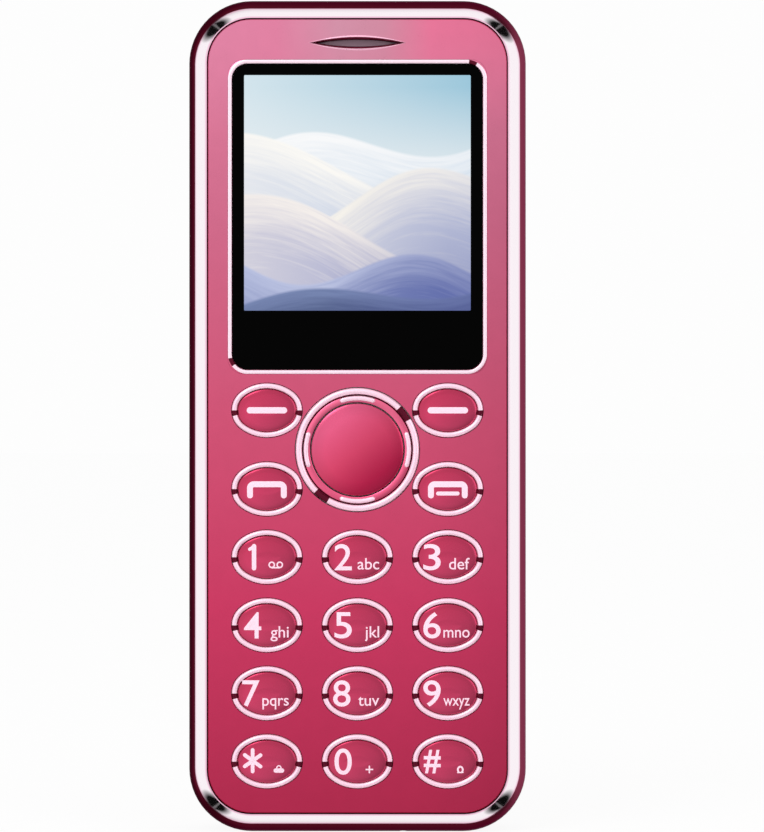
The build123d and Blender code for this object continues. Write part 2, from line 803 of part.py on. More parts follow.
# Chassis: wall round the board's back, battery bay behind, open chamber above for the modules
with BuildPart() as rear_housing:
    with BuildSketch(at_depth(deck_back)):
        room_outline(housing_gap)
    extrude(amount=deck_back - board_back)
    chamfer(rear_housing.faces().sort_by(Axis.Y)[-1].edges(), deck_thickness / 2)
    with BuildSketch(at_depth(floor_front)):
        room_outline(housing_gap + housing_wall)
        with Locations(*screw_places):
            Rectangle(2 * pillar_reach, 2 * pillar_reach, mode=Mode.SUBTRACT)
    extrude(amount=floor_front - board_back + overrun, mode=Mode.SUBTRACT)
    with BuildSketch(at_depth(deck_front)):
        with Locations((0, chamber_bottom)):
            Rectangle(cavity_width - 2 * (housing_gap + housing_wall), chamber_top - chamber_bottom,
                      align=(Align.CENTER, Align.MIN))
        with Locations(*screw_places):
            Rectangle(2 * pillar_reach, 2 * pillar_reach, mode=Mode.SUBTRACT)
    extrude(amount=deck_front - board_back, mode=Mode.SUBTRACT)
    with BuildSketch(at_depth(bay_floor)):
        with Locations((0, bay_z)):
            Rectangle(bay_width, bay_height)
    extrude(amount=-deck_back, mode=Mode.SUBTRACT)
    # Windows to the SIM sockets and the contact block, screw holes with their head rooms
    with BuildSketch(at_depth(bay_floor)):
        with Locations(*socket_places):
            Rectangle(socket_width - 2 * socket_slot, socket_height + 2 * socket_slot)
        with Locations(*screw_places):
            Circle(screw_radius + screw_gap)
    extrude(amount=bay_floor - board_back + overrun, mode=Mode.SUBTRACT)
    with BuildSketch(at_depth(bay_floor - screw_gap - screw_head_height)):
        with Locations(*screw_places):
            Circle(screw_head_radius + head_gap)
    extrude(amount=-deck_back, mode=Mode.SUBTRACT)
    with BuildSketch(at_depth(deck_front)):
        with Locations((speaker_place[0], bay_top)):
            Rectangle(contact_width + 2 * housing_gap, contact_depth + housing_gap,
                      align=(Align.CENTER, Align.MIN))
    extrude(amount=deck_front - board_back + overrun, mode=Mode.SUBTRACT)
    # Room for the socket at the bottom end
    with BuildSketch(at_depth(board_back + usb_depth + usb_gap)):
        Rectangle(usb_width + 2 * usb_gap, usb_inset + usb_length + usb_gap,
                  align=(Align.CENTER, Align.MIN))
    extrude(amount=usb_depth + usb_gap + overrun, mode=Mode.SUBTRACT)
    # Sound opening and camera hole in the deck
    with BuildSketch(at_depth(deck_back)):
        with Locations(speaker_place):
            Rectangle(slot_length, slot_length)
        with Locations(camera_place):
            Circle(barrel_radius + usb_gap)
    extrude(amount=deck_thickness + overrun, mode=Mode.SUBTRACT)
save(rear_housing, "rear_housing")

# Contact block on the board, with three prongs towards the battery's end
with BuildPart() as battery_contacts:
    block_bottom = bay_top + housing_gap
    with BuildSketch(at_depth(deck_front - housing_gap)):
        with Locations((speaker_place[0], block_bottom)):
            Rectangle(contact_width, contact_depth - housing_gap, align=(Align.CENTER, Align.MIN))
    extrude(amount=deck_front - housing_gap - board_back)
    with BuildSketch(Plane.XY.offset(block_bottom)):
        with Locations(*[(x, contact_y) for x in prong_x]):
            Rectangle(prong_width, prong_height)
    extrude(amount=press_gap - housing_gap - battery_side_gap)
save(battery_contacts, "battery_contacts")

# Battery: a flat pack with rounded edges and three contact recesses in its upper end
with BuildPart() as battery:
    with BuildSketch(at_depth(battery_back)):
        with Locations((0, bay_z)):
            Rectangle(battery_width, battery_height)
    extrude(amount=battery_thickness)
    chamfer(battery.edges(), battery_edge)
    with BuildSketch(Plane.XY.offset(bay_z + battery_height / 2)):
        with Locations(*[(x, contact_y) for x in prong_x]):
            Rectangle(prong_width + battery_side_gap, prong_height + battery_side_gap)
    extrude(amount=-recess_depth, mode=Mode.SUBTRACT)
save(battery, "battery")

# Loudspeaker: magnet cup, basket rim and cone, turned about its own axis
with BuildPart() as loudspeaker:
    speaker_centre = (speaker_place[0], front_y, speaker_place[1])
    magnet_front = deck_front - speaker_thickness
    basket_front = deck_front - speaker_basket
    cone_edge = magnet_radius + (speaker_radius - magnet_radius) * 2 / 3
    cone_depth = basket_front + speaker_basket / 3
    with BuildSketch(Plane(origin=speaker_centre, x_dir=(1, 0, 0), z_dir=(0, 0, 1))):
        with BuildLine():
            Polyline((0, magnet_front), (magnet_radius, magnet_front), (magnet_radius, basket_front),
                     (speaker_radius, basket_front), (speaker_radius, deck_front),
                     (cone_edge, deck_front), (0, cone_depth), close=True)
        make_face()
    revolve(axis=Axis(speaker_centre, (0, 1, 0)))
save(loudspeaker, "loudspeaker")

# Rear camera: socket, body and barrel behind the window in the cover
with BuildPart() as camera_module:
    camera_back = deck_front - housing_gap
    with BuildSketch(at_depth(board_back + component_height)):
        with Locations(camera_place):
            Rectangle(camera_size, camera_size)
    extrude(amount=component_height)
    with BuildSketch(at_depth(camera_back)):
        with Locations(camera_place):
            Rectangle(camera_size - camera_step, camera_size - camera_step)
    extrude(amount=camera_back - board_back - component_height)
    with BuildSketch(at_depth(deck_back)):
        with Locations(camera_place):
            Circle(barrel_radius)
    extrude(amount=deck_back - camera_back)
    with BuildSketch(at_depth(deck_back)):
        with Locations(camera_place):
            Circle(barrel_lens)
    extrude(amount=barrel_lens / 3, mode=Mode.SUBTRACT)
save(camera_module, "camera_module")

with BuildPart() as camera_window:
    with BuildSketch(at_depth(body_depth)):
        with Locations(camera_place):
            Circle(window_radius)
    extrude(amount=window_thickness)
save(camera_window, "camera_window")

# Vibration motor on its cradle; shaft and eccentric weight turn together
motor_y = front_y + motor_depth
with BuildPart() as vibration_motor:
    with BuildSketch(Plane.YZ.offset(motor_start)):
        with Locations((motor_y, motor_z)):
            Circle(motor_radius)
        with Locations((front_y + board_back, motor_z)):
            Rectangle(motor_radius + motor_gap, 2 * motor_radius, align=(Align.MIN, Align.CENTER))
    extrude(amount=motor_length)
    with BuildSketch(Plane.YZ.offset(motor_end)):
        with Locations((motor_y, motor_z)):
            Circle(motor_bore)
    extrude(amount=module_gap / 2)
    with BuildSketch(Plane.YZ.offset(motor_end + module_gap / 2)):
        with Locations((motor_y, motor_z)):
            Circle(shaft_radius + shaft_gap)
    extrude(amount=-shaft_seat - module_gap, mode=Mode.SUBTRACT)
save(vibration_motor, "vibration_motor")

with BuildPart() as motor_shaft:
    with BuildSketch(Plane.YZ.offset(motor_end - shaft_seat)):
        with Locations((motor_y, motor_z)):
            Circle(shaft_radius)
    extrude(amount=shaft_seat + module_gap + weight_length)
save(motor_shaft, "motor_shaft")

with BuildPart() as motor_weight:
    with BuildSketch(Plane.YZ.offset(weight_start)):
        with Locations((motor_y, motor_z)):
            Circle(weight_radius)
            Rectangle(2 * weight_radius, weight_radius, align=(Align.CENTER, Align.MIN),
                      mode=Mode.SUBTRACT)
            Circle(motor_bore)
            Circle(shaft_radius, mode=Mode.SUBTRACT)
    extrude(amount=weight_length)
save(motor_weight, "motor_weight")

# Antenna: slotted plate inside the top of the chassis, on two spring legs
with BuildPart() as antenna:
    antenna_z = chamber_top - antenna_height / 2
    antenna_front = deck_front - antenna_thickness
    with BuildSketch(at_depth(deck_front)):
        with Locations((0, antenna_z)):
            Rectangle(antenna_width, antenna_height)
        for step in (-1, 0, 1):
            side = 1 if step else -1
            with Locations((side * antenna_leg, antenna_z + step * antenna_height / 4)):
                Rectangle(antenna_width, antenna_slot, mode=Mode.SUBTRACT)
    extrude(amount=antenna_thickness)
    with BuildSketch(at_depth(antenna_front)):
        with Locations((0, chamber_top - antenna_height)):
            with GridLocations(antenna_width / 2, antenna_width / 2, 2, 1):
                Rectangle(antenna_leg, antenna_thickness, align=(Align.CENTER, Align.MIN))
    extrude(amount=antenna_front - board_back)
save(antenna, "antenna")

# Back cover: rounded back with a locating lip, loudspeaker slots, camera opening and nail notch
with BuildPart() as back_cover:
    with BuildSketch(at_depth(body_depth)):
        with Locations((0, middle_z)):
            RectangleRounded(body_width, body_height, corner_radius)
    extrude(amount=cover_side)
    fillet(back_cover.faces().sort_by(Axis.Y)[-1].edges(), cover_round)
    with BuildSketch(at_depth(parting)):
        with Locations((0, middle_z)):
            RectangleRounded(body_width - 2 * (rim_wall + lip_gap),
                             body_height - 2 * (rim_wall + lip_gap),
                             corner_radius - rim_wall - lip_gap)
    extrude(amount=lip_height)
    with BuildSketch(at_depth(cover_front)):
        with Locations((0, middle_z)):
            RectangleRounded(body_width - 2 * cover_wall, body_height - 2 * cover_wall,
                             corner_radius - cover_wall)
    extrude(amount=cover_front, mode=Mode.SUBTRACT)
    with BuildSketch(at_depth(body_depth)):
        with Locations(speaker_place):
            with GridLocations(slot_pitch, slot_pitch, 1, slot_count):
                Rectangle(slot_length, slot_width)
        with Locations(camera_place):
            Circle(window_radius - window_ledge)
    extrude(amount=cover_thickness + overrun, mode=Mode.SUBTRACT)
    with BuildSketch(at_depth(body_depth)):
        with Locations(camera_place):
            Circle(window_radius + lens_gap)
    extrude(amount=window_thickness, mode=Mode.SUBTRACT)
    with BuildSketch(Plane.XY.offset(notch_reach)):
        with Locations((0, front_y + parting)):
            Rectangle(notch_width, notch_height, align=(Align.CENTER, Align.MIN))
    extrude(amount=-notch_reach - overrun, mode=Mode.SUBTRACT)
save(back_cover, "back_cover")
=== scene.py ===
from math import asin, atan2, cos, pi, radians, sin, sqrt

import bpy
import bmesh
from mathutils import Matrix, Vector


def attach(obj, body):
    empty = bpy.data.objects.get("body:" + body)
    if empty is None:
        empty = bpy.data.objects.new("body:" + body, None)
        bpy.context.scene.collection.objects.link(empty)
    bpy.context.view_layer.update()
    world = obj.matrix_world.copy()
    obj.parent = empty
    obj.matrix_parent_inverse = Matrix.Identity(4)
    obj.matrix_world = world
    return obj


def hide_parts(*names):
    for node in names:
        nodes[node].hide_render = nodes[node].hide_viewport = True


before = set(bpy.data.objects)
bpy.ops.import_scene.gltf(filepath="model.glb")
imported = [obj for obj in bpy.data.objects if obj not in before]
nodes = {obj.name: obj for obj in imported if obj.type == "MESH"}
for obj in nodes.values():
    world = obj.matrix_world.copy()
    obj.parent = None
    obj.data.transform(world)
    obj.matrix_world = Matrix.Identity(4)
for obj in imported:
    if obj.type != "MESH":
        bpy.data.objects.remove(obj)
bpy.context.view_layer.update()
scene = bpy.context.scene
mm = 0.001
frontY = -4.95 * mm       # the face plate's front; the keys stand out of it towards -Y
faceWide, faceHigh = 38 * mm, 94 * mm     # what the face's tones are spread over
cornerSteps = 14          # facets in each corner of the display's pieces
print("frame loaded:", len(nodes), "nodes")


# shared helpers

def tone(red, green, blue):
    parts = []
    for part in (red, green, blue):
        part = part / 255
        parts.append(part / 12.92 if part <= 0.04045 else ((part + 0.055) / 1.055) ** 2.4)
    return (*parts, 1.0)


def shaderOf(name, values=None):
    material = bpy.data.materials.new(name)
    material.use_nodes = True
    tree = material.node_tree
    shader = next(n for n in tree.nodes if n.type == "BSDF_PRINCIPLED")
    for key, value in (values or {}).items():
        shader.inputs[key].default_value = value
    return material, tree, shader


def addNode(tree, kind, values=None, **settings):
    node = tree.nodes.new(kind)
    for key, value in settings.items():
        setattr(node, key, value)
    for key, value in (values or {}).items():
        node.inputs[key].default_value = value
    return node


def objectSpace(tree, scale=(1, 1, 1), place=(0, 0, 0)):
    coords = addNode(tree, "ShaderNodeTexCoord")
    mapping = addNode(tree, "ShaderNodeMapping", {"Scale": scale, "Location": place})
    tree.links.new(coords.outputs["Object"], mapping.inputs["Vector"])
    return mapping.outputs["Vector"]


def axes(tree, source):
    split = addNode(tree, "ShaderNodeSeparateXYZ")
    tree.links.new(source, split.inputs[0])
    return split.outputs


def mathNode(tree, operation, first, second=None, clamp=False):
    node = addNode(tree, "ShaderNodeMath", operation=operation, use_clamp=clamp)
    for index, value in enumerate((first, second)):
        if value is None:
            continue
        if isinstance(value, (int, float)):
            node.inputs[index].default_value = value
        else:
            tree.links.new(value, node.inputs[index])
    return node.outputs[0]


def plus(tree, first, second, clamp=False):
    return mathNode(tree, "ADD", first, second, clamp)


def minus(tree, first, second):
    return mathNode(tree, "SUBTRACT", first, second)


def times(tree, first, second):
    return mathNode(tree, "MULTIPLY", first, second)


def square(tree, value):
    return mathNode(tree, "POWER", value, 2.0)


def absolute(tree, value):
    return mathNode(tree, "ABSOLUTE", value)


def ramp(tree, source, stops):
    node = addNode(tree, "ShaderNodeValToRGB")
    marks = node.color_ramp.elements
    while len(marks) < len(stops):
        marks.new(0.5)
    for mark, (place, colour) in zip(marks, stops):
        mark.position = place
        mark.color = (*colour, 1.0)
    tree.links.new(source, node.inputs[0])
    return node.outputs["Color"]


def toneRamp(tree, source, stops, tint=(1.0, 1.0, 1.0)):
    return ramp(tree, source, [(place, [part * more for part, more in zip(tone(*colour), tint)])
                               for place, colour in stops])


def greyRamp(tree, source, *stops):
    return ramp(tree, source, [(place, (level,) * 3) for place, level in stops])


def blendTones(tree, share, first, second, mode="MIX"):
    node = addNode(tree, "ShaderNodeMix", data_type="RGBA", blend_type=mode)
    for socket, value in ((node.inputs[0], share), (node.inputs[6], first), (node.inputs[7], second)):
        if isinstance(value, (int, float, tuple)):
            socket.default_value = value
        else:
            tree.links.new(value, socket)
    return node.outputs[2]


def scaleTo(tree, source, low, high, fromLow=0.0, fromHigh=1.0):
    node = addNode(tree, "ShaderNodeMapRange", {1: fromLow, 2: fromHigh, 3: low, 4: high})
    tree.links.new(source, node.inputs[0])
    return node.outputs[0]


def mixShaders(tree, share, first, second):
    node = addNode(tree, "ShaderNodeMixShader")
    for socket, source in zip(node.inputs, (share, first, second)):
        tree.links.new(source, socket)
    return node.outputs[0]


def wearAndGrain(tree, shader, grain, rough, spread, bump, stretch=(1, 1, 1)):
    # fine grain drives roughness and bump; a broad cloud moves the roughness over the piece.
    # a look's "wear" holds the grain, the roughness, its spread and the bump in metres
    fine = addNode(tree, "ShaderNodeTexNoise", {"Scale": grain, "Detail": 3.0})
    broad = addNode(tree, "ShaderNodeTexNoise", {"Scale": grain / 25, "Detail": 2.0})
    place = objectSpace(tree, stretch)
    tree.links.new(place, fine.inputs["Vector"])
    tree.links.new(place, broad.inputs["Vector"])
    both = plus(tree, times(tree, fine.outputs[0], 0.6), times(tree, broad.outputs[0], 0.4))
    tree.links.new(scaleTo(tree, both, rough * (1 - spread), rough * (1 + spread), 0.3, 0.7),
                   shader.inputs["Roughness"])
    relief = addNode(tree, "ShaderNodeBump", {"Strength": 0.35, "Distance": bump})
    tree.links.new(fine.outputs[0], relief.inputs["Height"])
    tree.links.new(relief.outputs[0], shader.inputs["Normal"])
    return fine.outputs[0], broad.outputs[0]


def finish(name, look):
    # one material from a piece's dictionary: colour, metal, roughness, grain size and relief
    material, tree, shader = shaderOf(name, {
        "Metallic": look.get("metal", 0.0), "Specular IOR Level": look.get("gloss", 0.5),
        "Coat Weight": look.get("coat", 0.0), "Coat Roughness": look.get("coatRough", 0.05)})
    fine, broad = wearAndGrain(tree, shader, look.get("grain", 4000), look["rough"],
                               look.get("spread", 0.25), look.get("bump", 0.00001),
                               look.get("stretch", (1, 1, 1)))
    base = tone(*look["tone"])
    change = look.get("change", 0.08)
    dark = tuple(part * (1 - change) for part in base[:3]) + (1.0,)
    light = tuple(min(1.0, part * (1 + change)) for part in base[:3]) + (1.0,)
    colour = blendTones(tree, times(tree, plus(tree, fine, broad), 0.5), dark, light)
    tree.links.new(colour, shader.inputs["Base Color"])
    return material


def dress(name, material):
    # a piece kept from the frame model takes a finish of its own
    nodes[name].data.materials.clear()
    nodes[name].data.materials.append(material)


def meshPiece(name, points, faces, materials, faceMaterials=None, body="root", crease=35):
    mesh = bpy.data.meshes.new(name)
    mesh.from_pydata([tuple(p) for p in points], [], faces)
    for material in materials:
        mesh.materials.append(material)
    if faceMaterials:
        mesh.polygons.foreach_set("material_index", faceMaterials)
    check = bmesh.new()
    check.from_mesh(mesh)
    bmesh.ops.recalc_face_normals(check, faces=check.faces)
    check.to_mesh(mesh)
    check.free()
    mesh.shade_smooth()
    mesh.set_sharp_from_angle(angle=radians(crease))
    piece = bpy.data.objects.new(name, mesh)
    scene.collection.objects.link(piece)
    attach(piece, body)
    return piece


def loft(name, loops, bands, materials, body="root", caps=(True, True), crease=35):
    # joins closed loops of equal length; bands is one material number per pair of loops,
    # or a function of the pair's number and the place along the loop
    count = len(loops[0])
    points = [p for one in loops for p in one]
    faces, numbers = [], []
    for row in range(len(loops) - 1):
        for step in range(count):
            after = (step + 1) % count
            faces.append((row * count + step, row * count + after,
                          (row + 1) * count + after, (row + 1) * count + step))
            numbers.append(bands(row, step) if callable(bands) else bands[row])
    for wanted, row, number in ((caps[0], 0, 0), (caps[1], len(loops) - 1, len(loops) - 2)):
        if wanted:
            centre = sum((Vector(p) for p in loops[row]), Vector()) / count
            points.append(centre)
            for step in range(count):
                faces.append((row * count + step, row * count + (step + 1) % count, len(points) - 1))
                numbers.append(bands(number, step) if callable(bands) else bands[number])
    return meshPiece(name, points, faces, materials, numbers, body, crease)


def roundedLoop(width, height, radius, middle, proud, steps=cornerSteps):
    # a rounded rectangle that faces the front, in millimetres, proud of the face plate's front
    loop = []
    for corner, (sideX, sideZ) in enumerate(((1, -1), (1, 1), (-1, 1), (-1, -1))):
        for step in range(steps + 1):
            turn = radians(-90 + 90 * corner + 90 * step / steps)
            loop.append((mm * (sideX * (width / 2 - radius) + radius * cos(turn)),
                         frontY - proud * mm,
                         mm * (middle + sideZ * (height / 2 - radius) + radius * sin(turn))))
    return loop


def roundLoop(place, radius, height, steps):
    # height is a number, or a function of the place across the disc, both in millimetres
    loop = []
    for step in range(steps):
        turn = 2 * pi * step / steps
        x, z = radius * cos(turn), radius * sin(turn)
        proud = height(x, z) if callable(height) else height
        loop.append((mm * (place[0] + x), frontY - proud * mm, mm * (place[1] + z)))
    return loop


def ovalLoop(place, inset, height):
    # an oval of two small end arcs and two long side arcs, pulled in by the inset
    steps = keyLook["steps"]
    reachX, reachZ = keyLook["reachX"] - inset, keyLook["reachZ"] - inset
    end = keyLook["endRadius"] - inset
    side = ((reachX - end) ** 2 + reachZ ** 2 - end ** 2) / (2 * (reachZ - end))
    split = atan2(side - reachZ, reachX - end)
    loop = []
    for step in range(steps):
        turn = 2 * pi * step / steps
        quarter = turn % pi if turn % pi <= pi / 2 else pi - turn % pi
        if quarter < split:
            x, z = reachX - end + end * cos(quarter), end * sin(quarter)
        else:
            x, z = side * cos(quarter), reachZ - side + side * sin(quarter)
        x *= 1 if cos(turn) >= 0 else -1
        z *= 1 if sin(turn) >= 0 else -1
        proud = height(x, z) if callable(height) else height
        loop.append((mm * (place[0] + x), frontY - proud * mm, mm * (place[1] + z)))
    return loop


def lensLoop(width, height, middle, proud, steps=24):
    # two shallow arcs that meet in points, as the earpiece slit is
    reach, rise = width / 2, height / 2
    radius = (reach ** 2 + rise ** 2) / (2 * rise)
    spread = asin(reach / radius)
    loop = []
    for way in (1, -1):
        for step in range(steps):
            turn = spread * (1 - 2 * step / steps) * way
            loop.append((mm * radius * sin(turn), frontY - proud * mm,
                         mm * (middle + way * (radius * cos(turn) - radius + rise))))
    return loop


# finishes shared by the keys, the ring and the plate

plateLook = {
    # painted shading from the foot to the top, paler at the top, and a painted reflection across the upper
    # end from left to right
    "upwardShading": ((0.02, (187, 43, 81)), (0.27, (214, 60, 103)), (0.50, (217, 86, 122)),
               (0.74, (213, 109, 142)), (0.98, (226, 131, 163))),
    "across": ((0.02, (224, 132, 165)), (0.26, (228, 131, 165)), (0.44, (212, 150, 172)),
               (0.58, (212, 144, 166)), (0.72, (239, 120, 157)), (0.98, (246, 122, 160))),
    # where the painted reflection blends in, and the painted shade on the right side
    "reflectionFrom": (0.84, 0.96), "reflectionShare": 0.85, "rightShade": 0.87,
    "grain": 14000, "spread": 0.1, "bump": 0.0000006, "coatRough": 0.1,
}
# the ring and the cover share the plate's tones, each with a tint and a polish of its own
pinkLooks = {
    "platePink": {"tint": (1.0, 1.0, 1.0), "rough": 0.3, "coat": 0.15},
    "ringPink": {"tint": (1.25, 1.5, 1.4), "rough": 0.2, "coat": 0.3},
    "backPink": {"tint": (0.82, 0.62, 0.72), "rough": 0.34, "coat": 0.25},
}
# a dome's tones are painted shading along its lean, lighter on the first tone's side; "beside" paints shade
# towards the rim
keyDomeLook = {"lean": (0.35, -0.94), "reach": 2.4, "half": (3.35, 2.45), "beside": 0.76,
               "tones": ((0.08, (216, 70, 110)), (0.5, (206, 60, 100)), (0.92, (184, 48, 84))),
               "rough": 0.23, "coat": 0.3}
centreDomeLook = {"lean": (-0.6, 0.8), "reach": 4.4, "half": (5.2, 5.2), "beside": 0.8,
                  "tones": ((0.08, (217, 85, 125)), (0.5, (222, 68, 108)), (0.92, (212, 30, 84))),
                  "rough": 0.23, "coat": 0.3}
ringMiddle = (0.0, 43.215)


def pinkMetal(name):
    # fine satin metal; painted shading makes it paler at the top of the phone and deeper towards its foot
    look = pinkLooks[name]
    material, tree, shader = shaderOf(name, {"Metallic": 1.0, "Coat Weight": look["coat"],
                                             "Coat Roughness": plateLook["coatRough"]})
    fine, broad = wearAndGrain(tree, shader, plateLook["grain"], look["rough"], plateLook["spread"],
                               plateLook["bump"])
    across, _, up = axes(tree, objectSpace(tree, (1 / faceWide, 1, 1 / faceHigh), (0.5, 0, 0)))
    # a painted reflection blends in over the upper end
    reflectionAtTop = scaleTo(tree, up, 0.0, plateLook["reflectionShare"], *plateLook["reflectionFrom"])
    colour = blendTones(tree, reflectionAtTop, toneRamp(tree, up, plateLook["upwardShading"], look["tint"]),
                        toneRamp(tree, across, plateLook["across"], look["tint"]))
    # painted shade darkens the right side
    paintedRightShade = greyRamp(tree, across, (0.7, 1.0), (0.97, plateLook["rightShade"]))
    flakes = greyRamp(tree, fine, (0.3, 0.975), (0.7, 1.0))
    clouds = greyRamp(tree, broad, (0.35, 0.98), (0.65, 1.0))
    for layer in (paintedRightShade, flakes, clouds):
        colour = blendTones(tree, 1.0, colour, layer, "MULTIPLY")
    tree.links.new(colour, shader.inputs["Base Color"])
    return material


def domeMetal(name, look, middle):
    # the keys' red with painted shading, from the first tone on the side it leans to, to the last on the
    # other
    material, tree, shader = shaderOf(name, {"Metallic": 1.0, "Coat Weight": look["coat"],
                                             "Coat Roughness": plateLook["coatRough"]})
    fine, broad = wearAndGrain(tree, shader, plateLook["grain"], look["rough"], plateLook["spread"],
                               plateLook["bump"])
    x, _, z = axes(tree, objectSpace(tree, (1 / mm,) * 3, (-middle[0], 0, -middle[1])))
    # painted shading: lighter on the side the dome leans to, deeper on the other
    along = plus(tree, times(tree, z, look["lean"][1]), times(tree, x, look["lean"][0]))
    colour = toneRamp(tree, scaleTo(tree, along, 0.0, 1.0, look["reach"], -look["reach"]), look["tones"])
    outward = [square(tree, times(tree, one, 1 / half)) for one, half in zip((x, z), look["half"])]
    # painted shade deepens the dome towards its rim
    beside = greyRamp(tree, plus(tree, *outward), (0.5, 1.0), (1.0, look["beside"]))
    grains = greyRamp(tree, times(tree, plus(tree, fine, broad), 0.5), (0.3, 0.97), (0.7, 1.0))
    for layer in (beside, grains):
        colour = blendTones(tree, 1.0, colour, layer, "MULTIPLY")
    tree.links.new(colour, shader.inputs["Base Color"])
    return material


platePink = pinkMetal("platePink")
centrePink = domeMetal("centrePink", centreDomeLook, ringMiddle)
ringPink = pinkMetal("ringPink")
rimChrome = finish("rimChrome", {"tone": (254, 214, 232), "metal": 0.45, "rough": 0.24, "grain": 5000,
                                 "change": 0.03, "bump": 0.0000005, "gloss": 0.6})
trimChrome = finish("trimChrome", {"tone": (254, 224, 238), "metal": 0.5, "rough": 0.24, "grain": 5000,
                                   "change": 0.03, "bump": 0.0000005, "gloss": 0.6})
# painted dark reflections on the key rims, the ring and the display trim, and painted shade down into the
# earpiece slit
darkReflectionAndShade = finish("darkReflectionAndShade", {"tone": (86, 8, 34), "metal": 0.6, "rough": 0.3, "grain": 6000, "gloss": 0.2})
# painted shade in the keys' grooves, the ring's groove and bore, and the centre key's side
grooveShade = finish("grooveShade", {"tone": (112, 20, 52), "metal": 0.2, "rough": 0.5, "grain": 6000,
                                   "gloss": 0.1})
legendWhite = finish("legendWhite", {"tone": (250, 216, 232), "rough": 0.3, "grain": 9000, "change": 0.03,
                                     "gloss": 0.4})
print("shared finishes ready")


# face plate and frame: kept from the frame model, with their own finishes

dress("front_cover", platePink)

frameLook = {
    # tones across the cut bevel, by millimetres behind the plate's front
    "bevel": ((0.0, (247, 200, 222)), (0.12, (253, 244, 249)), (0.78, (253, 244, 249)),
              (0.92, (247, 200, 222))),
    "bevelEnd": 0.98, "bevelSoft": 0.06, "bevelRough": 0.04, "crown": 0.16,
    "side": (112, 24, 48), "sideDeep": (96, 16, 38), "sideRough": 0.34,
    # a painted reflection lightens the side towards the right; painted shade darkens it towards the ends
    "sideRightLight": (134, 56, 78), "rightLightFrom": (12.0, 18.0),
    "sideEndShade": (82, 14, 32), "endShadeFrom": (42.0, 46.0),
    "wear": (5000, 0.1, 0.3, 0.000001), "grazing": (0.62, 0.47, 0.53, 1.0),
}


def frameFinish():
    # bright cut bevel at the front, deep crimson on the curved side behind it, with a painted reflection
    # lightening its right side and painted shade towards its ends
    f = frameLook
    material, tree, shader = shaderOf("frameBevelAndSide", {"Metallic": 1.0, "Specular Tint": f["grazing"]})
    broad = wearAndGrain(tree, shader, *f["wear"])[1]
    # millimetres to the right, behind the plate's front and up from the middle
    x, depth, z = axes(tree, objectSpace(tree, (1 / mm,) * 3, (0, -frontY / mm, -faceHigh / 2 / mm)))
    isSide = scaleTo(tree, depth, 0.0, 1.0, f["bevelEnd"] - f["bevelSoft"], f["bevelEnd"])
    side = blendTones(tree, broad, tone(*f["side"]), tone(*f["sideDeep"]))
    # painted reflection on the right side, then painted shade towards the ends
    rightLight = scaleTo(tree, x, 0.0, 1.0, *f["rightLightFrom"])
    side = blendTones(tree, rightLight, side, tone(*f["sideRightLight"]))
    endShade = scaleTo(tree, absolute(tree, z), 0.0, 1.0, *f["endShadeFrom"])
    side = blendTones(tree, endShade, side, tone(*f["sideEndShade"]))
    tree.links.new(blendTones(tree, isSide, toneRamp(tree, depth, f["bevel"]), side),
                   shader.inputs["Base Color"])
    # the cut bevel is polished to a slight crown across its width
    fromMiddle = mathNode(tree, "MINIMUM", minus(tree, depth, f["bevelEnd"] / 2), 0.5)
    rise = times(tree, square(tree, absolute(tree, fromMiddle)), -f["crown"] * mm)
    crown = addNode(tree, "ShaderNodeBump", {"Strength": 1.0, "Distance": 1.0})
    tree.links.new(rise, crown.inputs["Height"])
    tree.links.new(crown.outputs[0], shader.inputs["Normal"].links[0].from_node.inputs["Normal"])
    smooth = scaleTo(tree, isSide, f["bevelRough"], f["sideRough"])
    grainRough = shader.inputs["Roughness"].links[0].from_socket
    tree.links.new(plus(tree, times(tree, grainRough, 0.3), smooth), shader.inputs["Roughness"])
    return material


dress("frame", frameFinish())
print("plate and frame finished")


# display: trim, printed border and picture

displayLook = {
    "trimWidth": 29.14, "trimHeight": 35.36, "middle": 69.415,
    # the painted dark reflections on the trim's corners
    "joints": ((1, 9, 12), (3, 2, 5)),        # corner, first and last facet
    "lensWidth": 28.2, "lensHeight": 34.43, "lensRadius": 1.75,
    "pictureWidth": 25.5, "pictureHeight": 26.5, "pictureMiddle": 72.11, "pictureRadius": 0.12,
    "screenRadius": 0.15, "overlap": 0.1, "depth": 0.8,
}
d = displayLook
# inset, proud and corner radius; the first rows fill the plate's tighter corner
trimShape = ((0.0, -0.8, 1.8), (0.0, -0.005, 1.8), (0.0, -0.004, 2.25), (0.04, 0.035, 2.2), (0.13, 0.05, 2.1),
             (0.28, 0.05, 1.95), (0.38, 0.03, 1.84), (0.42, -0.03, 1.79), (0.43, -0.8, 1.77))


def trimBands(row, step):
    # two painted dark reflections, at the top right corner and the bottom left one
    corner, along = divmod(step, cornerSteps + 1)
    if row < 2:
        return 2
    return int(any(corner == at and first <= along <= last for at, first, last in d["joints"]))


trimLoops = [roundedLoop(d["trimWidth"] - 2 * inset, d["trimHeight"] - 2 * inset, radius, d["middle"],
                         proud) for inset, proud, radius in trimShape]
displayTrim = loft("displayTrim", trimLoops, trimBands, [trimChrome, darkReflectionAndShade, platePink],
                   caps=(False, False), crease=50)
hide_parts("lens_trim")

borderBlack = finish("borderBlack", {"tone": (2, 2, 2), "rough": 0.08, "grain": 2500, "gloss": 0.015,
                                     "spread": 0.5, "bump": 0.0000002})
